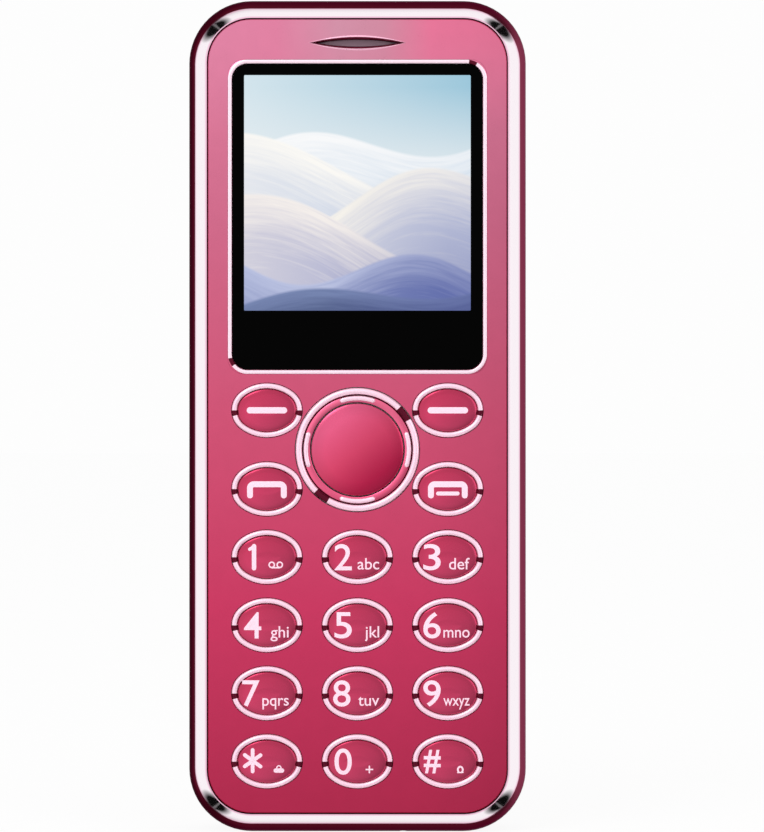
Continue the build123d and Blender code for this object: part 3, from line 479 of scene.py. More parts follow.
# inset and proud of the lens border, from its back round its polished edge
lensShape = ((0.0, -d["depth"]), (0.0, -0.2), (0.1, -0.1))
lensLoops = [roundedLoop(d["lensWidth"] - 2 * inset, d["lensHeight"] - 2 * inset, d["lensRadius"] - inset,
                         d["middle"], proud) for inset, proud in lensShape]
lensLoops += [roundedLoop(d["pictureWidth"], d["pictureHeight"], d["pictureRadius"], d["pictureMiddle"],
                          proud) for proud in (-0.12, -0.16)]
displayLens = loft("displayLens", lensLoops, [0, 0, 0, 0], [borderBlack], caps=(True, False), crease=25)
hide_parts("display_lens")

wallpaperLook = {
    "skyLeft": (214, 232, 240), "skyRight": (158, 202, 222), "skyLow": (240, 244, 246),
    # each ribbon: height at its middle, lean, swing, waves across, start, crest, fold, depth
    "ribbons": (
        (0.70, 0.16, 0.10, 0.75, 0.10, (252, 253, 254), (206, 222, 238), 0.26),
        (0.60, -0.10, 0.11, 0.60, 0.42, (255, 253, 248), (190, 204, 230), 0.22),
        (0.47, 0.14, 0.10, 0.85, 0.70, (252, 248, 240), (196, 202, 226), 0.26),
        (0.33, -0.20, 0.09, 0.70, 0.20, (248, 242, 238), (136, 146, 200), 0.24),
        (0.18, -0.06, 0.08, 0.95, 0.55, (188, 196, 228), (92, 108, 172), 0.16),
        (0.07, 0.10, 0.05, 0.80, 0.05, (120, 136, 180), (56, 70, 116), 0.09),
    ),
    # fine threads: how many along and across a ribbon, and how much they shade it
    "threads": (3.0, 46.0), "threadShade": 0.28, "ribbonEdge": 0.012,
    # where the sky clears, how the folds deepen to the right, and where the low right corner darkens
    "skyFrom": (0.5, 0.95), "leftShade": 0.4, "foldRight": 0.32, "foldFrom": (0.45, 1.0),
    "lowRight": (98, 108, 172), "lowShare": 0.5, "lowAcross": (0.35, 0.9), "lowUp": (0.12, 0.6),
    "level": 0.95,
}


def wallpaperFinish():
    # broad silky ribbons that sweep across under a pale sky, lit from behind
    w = wallpaperLook
    material, tree, shader = shaderOf("wallpaperPicture", {
        "Emission Strength": w["level"], "Base Color": (0.01, 0.01, 0.012, 1), "Specular IOR Level": 0.03,
        "Roughness": 0.12})
    place = objectSpace(tree, (1 / (d["pictureWidth"] * mm), 1, 1 / (d["pictureHeight"] * mm)),
                        (0.5, 0, 0.5 - d["pictureMiddle"] / d["pictureHeight"]))
    across, _, up = axes(tree, place)
    sky = blendTones(tree, across, tone(*w["skyLeft"]), tone(*w["skyRight"]))
    picture = blendTones(tree, scaleTo(tree, up, 0.0, 1.0, *w["skyFrom"]), tone(*w["skyLow"]), sky)
    for height, lean, swing, waves, begin, crest, fold, depth in w["ribbons"]:
        wave = mathNode(tree, "SINE", times(tree, plus(tree, across, begin), 2 * pi * waves))
        edge = plus(tree, times(tree, wave, swing), times(tree, minus(tree, across, 0.5), lean))
        under = minus(tree, plus(tree, edge, height), up)
        run = addNode(tree, "ShaderNodeCombineXYZ")
        for number, (way, count) in enumerate(zip((across, under), w["threads"])):
            tree.links.new(times(tree, way, count), run.inputs[number])
        threads = addNode(tree, "ShaderNodeTexNoise", {"Scale": 1.0, "Detail": 4.0, "Roughness": 0.6,
                                                       "Distortion": 0.35})
        tree.links.new(run.outputs[0], threads.inputs["Vector"])
        sheen = scaleTo(tree, threads.outputs[0], -w["threadShade"], w["threadShade"], 0.3, 0.7)
        shade = plus(tree, scaleTo(tree, under, 0.0, 1.0, 0.0, depth), sheen, True)
        shade = times(tree, shade, scaleTo(tree, across, w["leftShade"], 1.0))
        ribbon = blendTones(tree, shade, tone(*crest), tone(*fold))
        folded = scaleTo(tree, across, 0.0, w["foldRight"], *w["foldFrom"])
        ribbon = blendTones(tree, folded, ribbon, tone(*fold))
        picture = blendTones(tree, scaleTo(tree, under, 0.0, 1.0, 0.0, w["ribbonEdge"]), picture, ribbon)
    corner = times(tree, scaleTo(tree, across, 0.0, 1.0, *w["lowAcross"]),
                   scaleTo(tree, up, 1.0, 0.0, *w["lowUp"]))
    picture = blendTones(tree, times(tree, corner, w["lowShare"]), picture, tone(*w["lowRight"]))
    tree.links.new(picture, shader.inputs["Emission Color"])
    return material


pictureLoops = [roundedLoop(d["pictureWidth"] + d["overlap"], d["pictureHeight"] + d["overlap"],
                            d["screenRadius"], d["pictureMiddle"], proud) for proud in (-0.6, -0.15)]
screenPicture = loft("screenPicture", pictureLoops, [0], [wallpaperFinish()])
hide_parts("display_lens")
print("display built")


# oval keys: bright rim in two bright arcs parted by painted dark reflections, a groove in painted shade and a
# domed centre

keyLook = {"reachX": 3.92, "reachZ": 3.0, "endRadius": 2.55, "top": 0.46, "domeRadius": 14.0,
           "back": -1.7, "darkReflectionTurn": 6.2, "darkReflectionDrop": 8.0, "steps": 96}
# inset and height over the rim and in the groove, then inset and drop below the dome at its edge
keyRim = ((-0.04, 0.12), (0.0, 0.23), (0.08, 0.31), (0.18, 0.345), (0.29, 0.35), (0.40, 0.32),
          (0.48, 0.26), (0.53, 0.16), (0.55, 0.02))
keyGroove = (0.58, -0.02)
keyCrown = ((0.61, 0.08), (0.65, 0.03), (0.72, 0.01), (0.85, 0.0), (1.05, 0.0), (1.3, 0.0), (1.55, 0.0),
            (1.8, 0.0), (2.05, 0.0), (2.3, 0.0), (2.45, 0.0))
columns = {"left": -10.17, "middle": 0.0, "right": 10.17}
rows = {"bottom": 8.15, "third": 15.81, "second": 23.47, "first": 31.13, "call": 38.79, "soft": 47.64}
keyPlaces = {
    "key_star": ("left", "bottom"), "key_0": ("middle", "bottom"), "key_hash": ("right", "bottom"),
    "key_7": ("left", "third"), "key_8": ("middle", "third"), "key_9": ("right", "third"),
    "key_4": ("left", "second"), "key_5": ("middle", "second"), "key_6": ("right", "second"),
    "key_1": ("left", "first"), "key_2": ("middle", "first"), "key_3": ("right", "first"),
    "call_key": ("left", "call"), "end_key": ("right", "call"),
    "soft_key_left": ("left", "soft"), "soft_key_right": ("right", "soft"),
}


def keyDome(x, z):
    radius = keyLook["domeRadius"]
    return keyLook["top"] - (radius - sqrt(radius ** 2 - x ** 2 - z ** 2))


def buildKey(name, place):
    loops = [ovalLoop(place, keyRim[0][0], keyLook["back"])]
    loops += [ovalLoop(place, inset, proud) for inset, proud in (*keyRim, keyGroove)]
    for inset, drop in keyCrown:
        loops.append(ovalLoop(place, inset, lambda x, z: keyDome(x, z) - drop))

    def bands(row, step):
        turn = 360 * (step + 0.5) / keyLook["steps"]
        drop = keyLook["darkReflectionDrop"] if cos(radians(turn)) > 0 else -keyLook["darkReflectionDrop"]
        fromSide = min((turn + drop) % 180, 180 - (turn + drop) % 180)
        # the rim takes painted dark reflections at its two ends; the groove takes painted shade
        if row < len(keyRim):
            return int(fromSide < keyLook["darkReflectionTurn"])
        return 2 if row == len(keyRim) else 3

    pink = domeMetal(f"{name}_pink", keyDomeLook, place)
    piece = loft(f"{name}_cap", loops, bands, [rimChrome, darkReflectionAndShade, grooveShade, pink],
                 body=f"{name}_body", crease=50)
    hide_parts(name)


places = {name: (columns[column], rows[row]) for name, (column, row) in keyPlaces.items()}
for name, place in places.items():
    buildKey(name, place)
print("oval keys built:", len(places))


# signs on the keys, laid on the domes

signLook = {
    "proud": 0.035, "sunk": 0.05, "facet": 0.45, "digitX": -1.6,
    "digitHeight": 2.95, "digitWidth": 1.95, "digitWeight": 0.006,
    "hashHeight": 2.65, "hashWidth": 1.9, "hashWeight": 0.018,
    "oneInset": 0.24, "oneStroke": 0.5,
    "oneFlag": ((0.0, 0.0), (-0.28, -0.22), (-0.5, -0.34)), "flagStroke": 0.36,
    "starReach": (1.05, 1.2), "starZ": 0.1, "starTurns": (90, 32, 148), "starStroke": 0.42,
    "smallWeight": 0.004, "smallSize": 1.85, "smallWidth": 2.95, "smallEnd": 2.45, "smallZ": -1.36,
    "plusSize": 0.85, "plusX": 1.35, "plusZ": -0.88,
    # how far a digit stands from the common line
    "shift": {"1": 0.16, "3": -0.18, "6": -0.18, "7": -0.2, "8": -0.15, "9": -0.18, "#": -0.15},
}
s = signLook
digits = {"key_1": ("1", ""), "key_2": ("2", "abc"), "key_3": ("3", "def"), "key_4": ("4", "ghi"),
          "key_5": ("5", "jkl"), "key_6": ("6", "mno"), "key_7": ("7", "pqrs"), "key_8": ("8", "tuv"),
          "key_9": ("9", "wxyz"), "key_star": ("*", ""), "key_0": ("0", "+"), "key_hash": ("#", "")}


def domeSign(name, keyName, points, faces):
    # points are (x, z, side) in millimetres from the key's middle; side 1 is the outer skin
    mesh = bpy.data.meshes.new(name)
    mesh.from_pydata([(x, side, z) for x, z, side in points], [], faces)
    work = bmesh.new()
    work.from_mesh(mesh)
    bmesh.ops.remove_doubles(work, verts=work.verts, dist=0.0005)
    bmesh.ops.triangulate(work, faces=work.faces)
    # short edges let the flat skin follow the dome
    for _ in range(3):
        flat = [e for e in work.edges if abs(e.verts[0].co.y - e.verts[1].co.y) < 0.5]
        longEdges = [e for e in flat if e.calc_length() > s["facet"]]
        if longEdges:
            bmesh.ops.subdivide_edges(work, edges=longEdges, cuts=1)
            bmesh.ops.triangulate(work, faces=work.faces)
    bmesh.ops.recalc_face_normals(work, faces=work.faces)
    centre = places[keyName]
    for v in work.verts:
        lift = s["proud"] if v.co.y > 0 else -s["sunk"]
        y = frontY - (keyDome(v.co.x, v.co.z) + lift) * mm
        v.co = (mm * (centre[0] + v.co.x), y, mm * (centre[1] + v.co.z))
    work.to_mesh(mesh)
    work.free()
    mesh.materials.append(legendWhite)
    piece = bpy.data.objects.new(name, mesh)
    scene.collection.objects.link(piece)
    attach(piece, f"{keyName}_body")


def letters(text, width, height, middleX, middleZ, weight, size=0.0):
    # fits the text to a width and height round its middle; with a size, the text keeps its own
    # proportions, ends at middleX and stands on the line middleZ
    curve = bpy.data.curves.new("letters", "FONT")
    curve.body = text
    curve.extrude = 0.5
    curve.offset = weight
    curve.resolution_u = 6
    holder = bpy.data.objects.new("letters", curve)
    scene.collection.objects.link(holder)
    bpy.context.view_layer.update()
    mesh = bpy.data.meshes.new_from_object(holder)
    xs = [v.co.x for v in mesh.vertices]
    ys = [v.co.y for v in mesh.vertices]
    spanX, spanY = max(xs) - min(xs), max(ys) - min(ys)
    wide = min(width, spanX * size) if size else width
    tall, foot = (spanY * size, middleZ + min(ys) * size) if size else (height, middleZ - height / 2)
    start = middleX - wide * (1 if size else 0.5)
    points = [((v.co.x - min(xs)) / spanX * wide + start,
               (v.co.y - min(ys)) / spanY * tall + foot,
               1 if v.co.z > 0 else -1) for v in mesh.vertices]
    faces = [tuple(p.vertices) for p in mesh.polygons]
    bpy.data.objects.remove(holder)
    bpy.data.curves.remove(curve)
    bpy.data.meshes.remove(mesh)
    return points, faces


stripEnd = (0.35, 0.7, 1.1, 1.5)      # turns round a strip's end, in radians


def strip(path, thickness):
    # a flat band with round ends that follows a path of (x, z) in millimetres
    path = [Vector(p) for p in path]
    half = thickness / 2
    marks = []
    for number, p in enumerate(path):
        before, after = path[max(number - 1, 0)], path[min(number + 1, len(path) - 1)]
        marks.append((p, (after - before).normalized(), half))
    first, last = marks[0], marks[-1]
    marks = ([(first[0] - first[1] * half * sin(t), first[1], half * cos(t)) for t in reversed(stripEnd)]
             + marks + [(last[0] + last[1] * half * sin(t), last[1], half * cos(t)) for t in stripEnd])
    points, faces = [], []
    for p, along, reach in marks:
        across = Vector((-along.y, along.x)) * reach
        for edge in (p + across, p - across):
            points += [(edge.x, edge.y, 1), (edge.x, edge.y, -1)]
    for a in range(0, len(points) - 4, 4):
        b = a + 4
        faces += [(a, b, b + 2, a + 2), (a + 1, a + 3, b + 3, b + 1),
                  (a, a + 1, b + 1, b), (a + 2, b + 2, b + 3, a + 3)]
    end = len(points) - 4
    faces += [(0, 2, 3, 1), (end, end + 1, end + 3, end + 2)]
    return points, faces


def levelPath(reach, z, parts):
    return [(-reach + 2 * reach * n / parts, z) for n in range(parts + 1)]


def arcPath(middle, reachX, reachZ, start, end, steps=14):
    return [(middle[0] + reachX * cos(radians(start + (end - start) * n / steps)),
             middle[1] + reachZ * sin(radians(start + (end - start) * n / steps)))
            for n in range(steps + 1)]


def merge(*shapes):
    points, faces = [], []
    for morePoints, moreFaces in shapes:
        faces += [tuple(i + len(points) for i in face) for face in moreFaces]
        points += morePoints
    return points, faces


def digitParts(digit):
    x = s["digitX"] + s["shift"].get(digit, 0.0)
    if digit == "1":
        head = s["digitHeight"] / 2 - s["oneInset"]
        stem = [(x, -head + 2 * head * n / 8) for n in range(9)]
        flag = [(x + across, head + up) for across, up in s["oneFlag"]]
        return [strip(stem, s["oneStroke"]), strip(flag, s["flagStroke"])]
    if digit == "*":
        reachX, reachZ = s["starReach"]
        return [strip([(x + reachX * n / 4 * cos(turn), s["starZ"] + reachZ * n / 4 * sin(turn))
                       for n in range(-4, 5)], s["starStroke"]) for turn in map(radians, s["starTurns"])]
    kind = "hash" if digit == "#" else "digit"
    return [letters(digit, s[f"{kind}Width"], s[f"{kind}Height"], x, 0.0, s[f"{kind}Weight"])]


for keyName, (digit, small) in digits.items():
    parts = digitParts(digit)
    if small == "+":
        parts.append(letters(small, s["plusSize"], s["plusSize"], s["plusX"], s["plusZ"], s["smallWeight"]))
    elif small:
        parts.append(letters(small, s["smallWidth"], 0.0, s["smallEnd"], s["smallZ"], s["smallWeight"],
                             s["smallSize"]))
    domeSign(f"{keyName}_sign", keyName, *merge(*parts))

# the small mark beside a digit: strips with a path and a thickness each
keyMarks = {
    "key_1": [(arcPath((0.55, -0.85), 0.3, 0.3, 0, 345), 0.16),
              (arcPath((1.45, -0.85), 0.3, 0.3, 0, 345), 0.16),
              ([(0.55, -1.18), (1.0, -1.18), (1.45, -1.18)], 0.16)],
    "key_star": [(arcPath((1.35, -0.75), 0.24, 0.3, 0, 180), 0.14),
                 ([(1.0, -1.0), (1.35, -1.0), (1.7, -1.0)], 0.5)],
    "key_hash": [(arcPath((1.4, -0.9), 0.28, 0.34, -45, 225), 0.2),
                 ([(1.1, -1.22), (1.4, -1.22), (1.7, -1.22)], 0.14)],
}
for keyName, strips in keyMarks.items():
    domeSign(f"{keyName}_mark", keyName, *merge(*(strip(path, thickness) for path, thickness in strips)))

barLook = {"width": 3.85, "thickness": 0.7}
softBar = strip(levelPath(barLook["width"] / 2, 0.0, 12), barLook["thickness"])
for keyName in ("soft_key_left", "soft_key_right"):
    domeSign(f"{keyName}_sign", keyName, *softBar)

handsetLook = {"reach": 1.9, "top": 0.54, "foot": -0.72, "legStep": 0.25, "corner": 0.42, "thickness": 0.66,
               "middle": 0.6, "barReach": 1.1, "barZ": -0.5, "barThickness": 0.44}
h = handsetLook
cornerX, cornerZ = h["reach"] - h["corner"], h["top"] - h["corner"]
handset = strip([(-h["reach"], h["foot"] + h["legStep"] * n) for n in range(4)]
                + arcPath((-cornerX, cornerZ), h["corner"], h["corner"], 180, 90, 8)
                + levelPath(h["middle"], h["top"], 2)
                + arcPath((cornerX, cornerZ), h["corner"], h["corner"], 90, 0, 8)
                + [(h["reach"], h["foot"] + h["legStep"] * n) for n in (3, 2, 1, 0)], h["thickness"])
endBar = strip(levelPath(h["barReach"], h["barZ"], 10), h["barThickness"])
domeSign("call_key_sign", "call_key", *handset)
domeSign("end_key_sign", "end_key", *merge(handset, endBar))
print("signs laid on the keys")


# four-way ring and centre key

ringLook = {"middle": ringMiddle, "steps": 144, "joints": (38.0, 232.0), "darkReflectionTurn": 7.5,
            "ridgeIn": 5.52, "ridgeOut": 6.08, "ridgeTurn": 20.5, "ridgeSteps": 20, "ridgeFoot": -0.12,
            "ridgeEnd": 0.15, "ridgeLeast": 0.03, "rimRows": 8, "grooveRows": 12, "flatRows": 15}
r = ringLook
# radius and height, from the outer wall over the bright rim, the groove and the flat to the bore
ringShape = ((6.94, -1.6), (6.94, 0.10), (6.89, 0.22), (6.79, 0.31), (6.67, 0.35), (6.50, 0.35), (6.37, 0.31),
             (6.28, 0.22), (6.24, 0.08), (6.23, -0.30), (6.17, -0.36), (6.13, -0.30), (6.12, -0.14),
             (6.06, -0.10), (5.45, -0.10), (5.35, -0.14), (5.31, -0.30), (5.30, -1.6))


def ringBands(row, step):
    # the bright rim with its painted dark reflections, the groove in painted shade, the flat, and the bore in
    # painted shade
    turn = 360 * (step + 0.5) / r["steps"]
    if row < r["rimRows"]:
        return int(min(abs((turn - reflectionAt + 180) % 360 - 180) for reflectionAt in r["joints"]) < r["darkReflectionTurn"])
    return 3 if r["grooveRows"] <= row < r["flatRows"] else 2


ringLoops = [roundLoop(r["middle"], radius, proud, r["steps"]) for radius, proud in ringShape]
ringPiece = loft("fourWayRing", ringLoops + ringLoops[:1], ringBands,
                 [rimChrome, darkReflectionAndShade, grooveShade, ringPink], body="nav_ring_body", caps=(False, False),
                 crease=50)
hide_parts("nav_ring")

# a ridge's inset from its inner side and its height; both shrink to its rounded ends
ridgeShape = ((0.0, -0.12), (0.03, 0.0), (0.12, 0.07), (0.28, 0.08), (0.44, 0.07), (0.53, 0.0), (0.56, -0.12))
ridgeMiddle = (r["ridgeIn"] + r["ridgeOut"]) / 2
for number in range(4):
    sections = []
    for step in range(r["ridgeSteps"] + 1):
        share = 2 * step / r["ridgeSteps"] - 1
        turn = radians(90 * number + r["ridgeTurn"] * share)
        intoEnd = max(0.0, abs(share) - 1 + r["ridgeEnd"]) / r["ridgeEnd"]
        closing = sqrt(max(0.0, 1 - intoEnd ** 2)) * (1 - r["ridgeLeast"]) + r["ridgeLeast"]
        section = []
        for inset, proud in ridgeShape:
            radius = ridgeMiddle + (r["ridgeIn"] + inset - ridgeMiddle) * closing
            height = r["ridgeFoot"] + (proud - r["ridgeFoot"]) * closing
            section.append((mm * (r["middle"][0] + radius * cos(turn)), frontY - height * mm,
                            mm * (r["middle"][1] + radius * sin(turn))))
        sections.append(section)
    ridge = loft(f"ringRidge_{number + 1}", sections, [0] * r["ridgeSteps"], [rimChrome],
                 body="nav_ring_body", crease=60)

centreLook = {"radius": 5.2, "top": 0.5, "rise": 0.56, "steps": 120}
domeBall = (centreLook["radius"] ** 2 + centreLook["rise"] ** 2) / (2 * centreLook["rise"])
centreCrown = ((0.015, 0.05), (0.06, 0.015), (0.14, 0.0), (0.4, 0.0), (0.8, 0.0), (1.3, 0.0), (1.9, 0.0),
               (2.5, 0.0), (3.1, 0.0), (3.7, 0.0), (4.3, 0.0), (4.8, 0.0))


def centreDome(x, z):
    return centreLook["top"] - (domeBall - sqrt(domeBall ** 2 - x ** 2 - z ** 2))


reachOut, steps = centreLook["radius"], centreLook["steps"]
centreLoops = [roundLoop(r["middle"], reachOut, proud, steps) for proud in (-1.3, -0.2)]
centreLoops += [roundLoop(r["middle"], reachOut - inset, lambda x, z: centreDome(x, z) - drop, steps)
                for inset, drop in centreCrown]
centreKey = loft("centreKey", centreLoops, lambda row, step: int(row == 0), [centrePink, grooveShade],
                 body="nav_key_body", crease=50)
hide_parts("nav_key")
print("ring and centre key built")


# earpiece: a dished, finely perforated strip behind the slit

earLook = {"width": 11.3, "height": 1.9, "middle": 88.99, "front": -0.75, "dish": 0.25, "back": 1.3,
           "rows": 8, "columns": 24, "wear": (6000, 0.35, 0.3, 0.000002), "holes": 5200.0,
           "tones": ((0.22, (48, 24, 36)), (0.42, (132, 106, 118)))}


def earFinish():
    material, tree, shader = shaderOf("earpieceWeave", {"Metallic": 0.7})
    wearAndGrain(tree, shader, *earLook["wear"])
    dots = addNode(tree, "ShaderNodeTexVoronoi", {"Scale": earLook["holes"], "Randomness": 0.0})
    tree.links.new(objectSpace(tree), dots.inputs["Vector"])
    tree.links.new(toneRamp(tree, dots.outputs["Distance"], earLook["tones"]), shader.inputs["Base Color"])
    return material


def buildEarStrip():
    e = earLook
    wide = e["columns"] + 1
    points, faces = [], []
    for up in range(e["rows"] + 1):
        share = up / e["rows"]
        z = e["middle"] + e["height"] * (share - 0.5)
        proud = e["front"] - e["dish"] * (1 - (2 * share - 1) ** 2)
        points += [(mm * e["width"] * (n / e["columns"] - 0.5), frontY - proud * mm, mm * z)
                   for n in range(wide)]
    total = len(points)
    points += [(x, frontY + e["back"] * mm, z) for x, y, z in points]
    for up in range(e["rows"]):
        for a in range(up * wide, up * wide + e["columns"]):
            b = total + a
            faces += [(a, a + 1, a + wide + 1, a + wide), (b, b + wide, b + wide + 1, b + 1)]
    # round the foot, the right end, the top and the left end
    edge = [*range(wide), *range(2 * wide - 1, total, wide), *range(total - 2, total - wide - 1, -1),
            *range(total - 2 * wide, 0, -wide)]
    faces += [(a, total + a, total + b, b) for a, b in zip(edge, edge[1:] + edge[:1])]
    return meshPiece("earpieceStrip", points, faces, [earFinish()])


earStrip = buildEarStrip()
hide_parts("earpiece_grille")

# a thin lip round the slit: a painted highlight on the face, painted shade where it turns down into the slit
lipShape = ((0.10, 0.34, -0.03), (0.09, 0.31, 0.012), (0.04, 0.13, 0.02), (0.0, 0.10, 0.018),
            (-0.02, 0.0, 0.012), (-0.3, -0.06, -0.03), (-0.75, -0.14, -0.25), (-0.8, -0.15, -0.6))
slitLook = {"width": 10.75, "height": 1.06}
lipHighlight = finish("lipHighlight", {"tone": (246, 184, 208), "metal": 0.6, "rough": 0.3, "grain": 7000,
                             "change": 0.03})
lipLoops = [lensLoop(slitLook["width"] + 2 * wide, slitLook["height"] + 2 * high, earLook["middle"], proud)
            for wide, high, proud in lipShape]
earLip = loft("earpieceLip", lipLoops, [0, 0, 1, 1, 1, 1, 1], [lipHighlight, darkReflectionAndShade], caps=(False, False),
              crease=60)
print("earpiece built")


# back of the phone and the pieces inside it

nodeLooks = {
    "rear_housing": {"tone": (44, 43, 46), "rough": 0.55, "grain": 3500, "bump": 0.00001},
    "lcd_frame": {"tone": (58, 58, 62), "rough": 0.5, "grain": 3500},
    "lcd_flex": {"tone": (176, 104, 36), "rough": 0.35, "grain": 1500,
                 "stretch": (1, 1, 0.05), "change": 0.2},
    "earpiece_speaker": {"tone": (40, 40, 44), "rough": 0.45, "grain": 3000},
    "nav_actuator": {"tone": (196, 196, 200), "metal": 1.0, "rough": 0.32, "grain": 4000,
                     "stretch": (1, 1, 0.05)},
    "keypad_mat": {"tone": (214, 212, 208), "rough": 0.6, "grain": 2500},
    "dome_sheet": {"tone": (200, 200, 204), "metal": 0.9, "rough": 0.28, "grain": 3000,
                   "stretch": (0.1, 1, 1)},
    "shield_can": {"tone": (188, 190, 194), "metal": 1.0, "rough": 0.34, "grain": 3500,
                   "stretch": (0.06, 1, 1)},
    "sim_sockets": {"tone": (202, 202, 206), "metal": 1.0, "rough": 0.3, "grain": 3500,
                    "stretch": (1, 1, 0.06)},
    "battery_contacts": {"tone": (30, 30, 32), "rough": 0.5, "grain": 3000},
    "loudspeaker": {"tone": (30, 30, 33), "rough": 0.42, "grain": 2500, "change": 0.2},
    "microphone": {"tone": (196, 184, 150), "metal": 1.0, "rough": 0.3, "grain": 4000},
    "vibration_motor": {"tone": (190, 190, 194), "metal": 1.0, "rough": 0.28, "grain": 3500,
                        "stretch": (0.05, 1, 1)},
    "motor_shaft": {"tone": (206, 206, 210), "metal": 1.0, "rough": 0.2, "grain": 5000,
                    "stretch": (0.05, 1, 1)},
    "motor_weight": {"tone": (122, 122, 128), "metal": 1.0, "rough": 0.5, "grain": 2500, "change": 0.18},
    "usb_port": {"tone": (204, 204, 208), "metal": 1.0, "rough": 0.26, "grain": 4000,
                 "stretch": (1, 1, 0.05)},
    "camera_module": {"tone": (26, 26, 30), "rough": 0.35, "grain": 3500},
    "antenna": {"tone": (212, 178, 104), "metal": 1.0, "rough": 0.3, "grain": 4000,
                "stretch": (0.05, 1, 1)},
    "housing_screws": {"tone": (176, 176, 182), "metal": 1.0, "rough": 0.3, "grain": 5000, "change": 0.15},
    "lcd_panel": {"tone": (34, 38, 44), "rough": 0.12, "grain": 2000, "coat": 0.5},
}
for name, look in nodeLooks.items():
    dress(name, finish(f"{name}_finish", look))

boardLook = {"mask": (20, 92, 58), "maskDeep": (16, 80, 50), "track": (34, 122, 78), "trackScale": 700.0,
             "pad": (216, 184, 110), "padScale": 420.0, "padEdge": (0.16, 0.18),
             "wear": (3000, 0.35, 0.2, 0.00001)}
batteryLook = {
    # tones from the pack's foot to its top, both in millimetres, and the ruled lines on its label
    "ends": (7.7, 53.5),
    "tones": ((0.0, (52, 54, 60)), (0.16, (52, 54, 60)), (0.17, (206, 206, 204)), (0.60, (212, 212, 210)),
              (0.61, (172, 40, 68)), (0.64, (172, 40, 68)), (0.65, (52, 54, 60)), (1.0, (46, 48, 54))),
    "lineGap": 1.1, "line": 0.12, "lineReach": 11.0, "linesFrom": 16.5, "linesTo": 27.0,
    "lineTone": (120, 120, 124), "wear": (2500, 0.38, 0.3, 0.000006),
}
windowLook = {
    "middle": (8.775, 79.04), "radius": 3.0, "wear": (2500, 0.06, 0.4, 0.0000002),
    "tones": ((0.0, (10, 12, 26)), (0.2, (16, 20, 44)), (0.34, (40, 44, 70)), (0.36, (4, 4, 6)),
              (0.56, (6, 6, 8)), (0.58, (70, 70, 76)), (0.62, (10, 10, 12)), (0.93, (12, 12, 14)),
              (0.95, (190, 180, 186))),
}


def boardFinish():
    # solder mask with tracks and plated pads
    material, tree, shader = shaderOf("boardFinish")
    b = boardLook
    wearAndGrain(tree, shader, *b["wear"])
    tracks = addNode(tree, "ShaderNodeTexBrick", {
        "Scale": b["trackScale"], "Mortar Size": 0.06, "Brick Width": 0.9, "Row Height": 0.35,
        "Color1": tone(*b["mask"]), "Color2": tone(*b["maskDeep"]), "Mortar": tone(*b["track"])})
    turned = addNode(tree, "ShaderNodeMapping", {"Rotation": (radians(90), 0, 0)})
    tree.links.new(objectSpace(tree), turned.inputs["Vector"])
    tree.links.new(turned.outputs[0], tracks.inputs["Vector"])
    pads = addNode(tree, "ShaderNodeTexVoronoi", {"Scale": b["padScale"], "Randomness": 0.55})
    tree.links.new(objectSpace(tree), pads.inputs["Vector"])
    isPad = scaleTo(tree, pads.outputs["Distance"], 1.0, 0.0, *b["padEdge"])
    tree.links.new(blendTones(tree, isPad, tracks.outputs["Color"], tone(*b["pad"])),
                   shader.inputs["Base Color"])
    tree.links.new(isPad, shader.inputs["Metallic"])
    return material


def batteryFinish():
    # foil wrap with a pale band and thin ruled lines
    material, tree, shader = shaderOf("batteryWrap")
    b = batteryLook
    wearAndGrain(tree, shader, *b["wear"])
    x, _, z = axes(tree, objectSpace(tree, (1 / mm,) * 3))
    wrap = toneRamp(tree, scaleTo(tree, z, 0, 1, *b["ends"]), b["tones"])
    isLine = mathNode(tree, "LESS_THAN", mathNode(tree, "PINGPONG", z, b["lineGap"]), b["line"])
    for limit in (mathNode(tree, "LESS_THAN", absolute(tree, x), b["lineReach"]),
                  mathNode(tree, "GREATER_THAN", z, b["linesFrom"]),
                  mathNode(tree, "LESS_THAN", z, b["linesTo"])):
        isLine = times(tree, isLine, limit)
    tree.links.new(blendTones(tree, isLine, wrap, tone(*b["lineTone"])), shader.inputs["Base Color"])
    return material


def windowFinish():
    # dark glass over a ringed lens
    material, tree, shader = shaderOf("cameraWindow", {"Specular IOR Level": 0.12, "Coat Weight": 0.1})
    wearAndGrain(tree, shader, *windowLook["wear"])
    middleX, middleZ = windowLook["middle"]
    x, _, z = axes(tree, objectSpace(tree, (1 / mm, 1, 1 / mm), (-middleX, 0, -middleZ)))
    distance = mathNode(tree, "SQRT", plus(tree, square(tree, x), square(tree, z)))
    share = scaleTo(tree, distance, 0, 1, 0, windowLook["radius"])
    tree.links.new(toneRamp(tree, share, windowLook["tones"]), shader.inputs["Base Color"])
    return material


dress("back_cover", pinkMetal("backPink"))
dress("main_board", boardFinish())
dress("battery", batteryFinish())
dress("camera_window", windowFinish())
print("inner pieces finished:", len(nodeLooks) + 4)


# floor, light and camera

studioLook = {
    "floor": (250, 250, 250), "floorSize": 4.0, "floorZ": -0.02, "floorGlow": 0.92, "backdrop": 0.984,
    "floorWear": (400, 0.6, 0.1, 0.00002),
    # the light round the phone, the light in front with its falls across and up, and its least value
    "level": 0.97, "frontLevel": 0.9, "acrossLight": -0.78, "upLight": 0.64, "least": 0.25,
    "inFront": (0.5, 0.85),
    # the dark cards' direction, their soft edge, and a faint slit in them
    "card": (0.66, 0.07, 0.72), "cardEdge": (0.944, 0.984), "dark": 0.004,
    "slit": (-0.13, -0.08), "slitShare": 0.16,
    # how much dimmer the room behind is on the left, and where that begins and ends
    "behindLeft": 0.22, "behind": (0.05, 0.4), "behindAcross": (-0.6, 0.4),
    "lens": 150.0, "sensor": 36.0, "distance": 0.39, "aimX": 2.77,
}


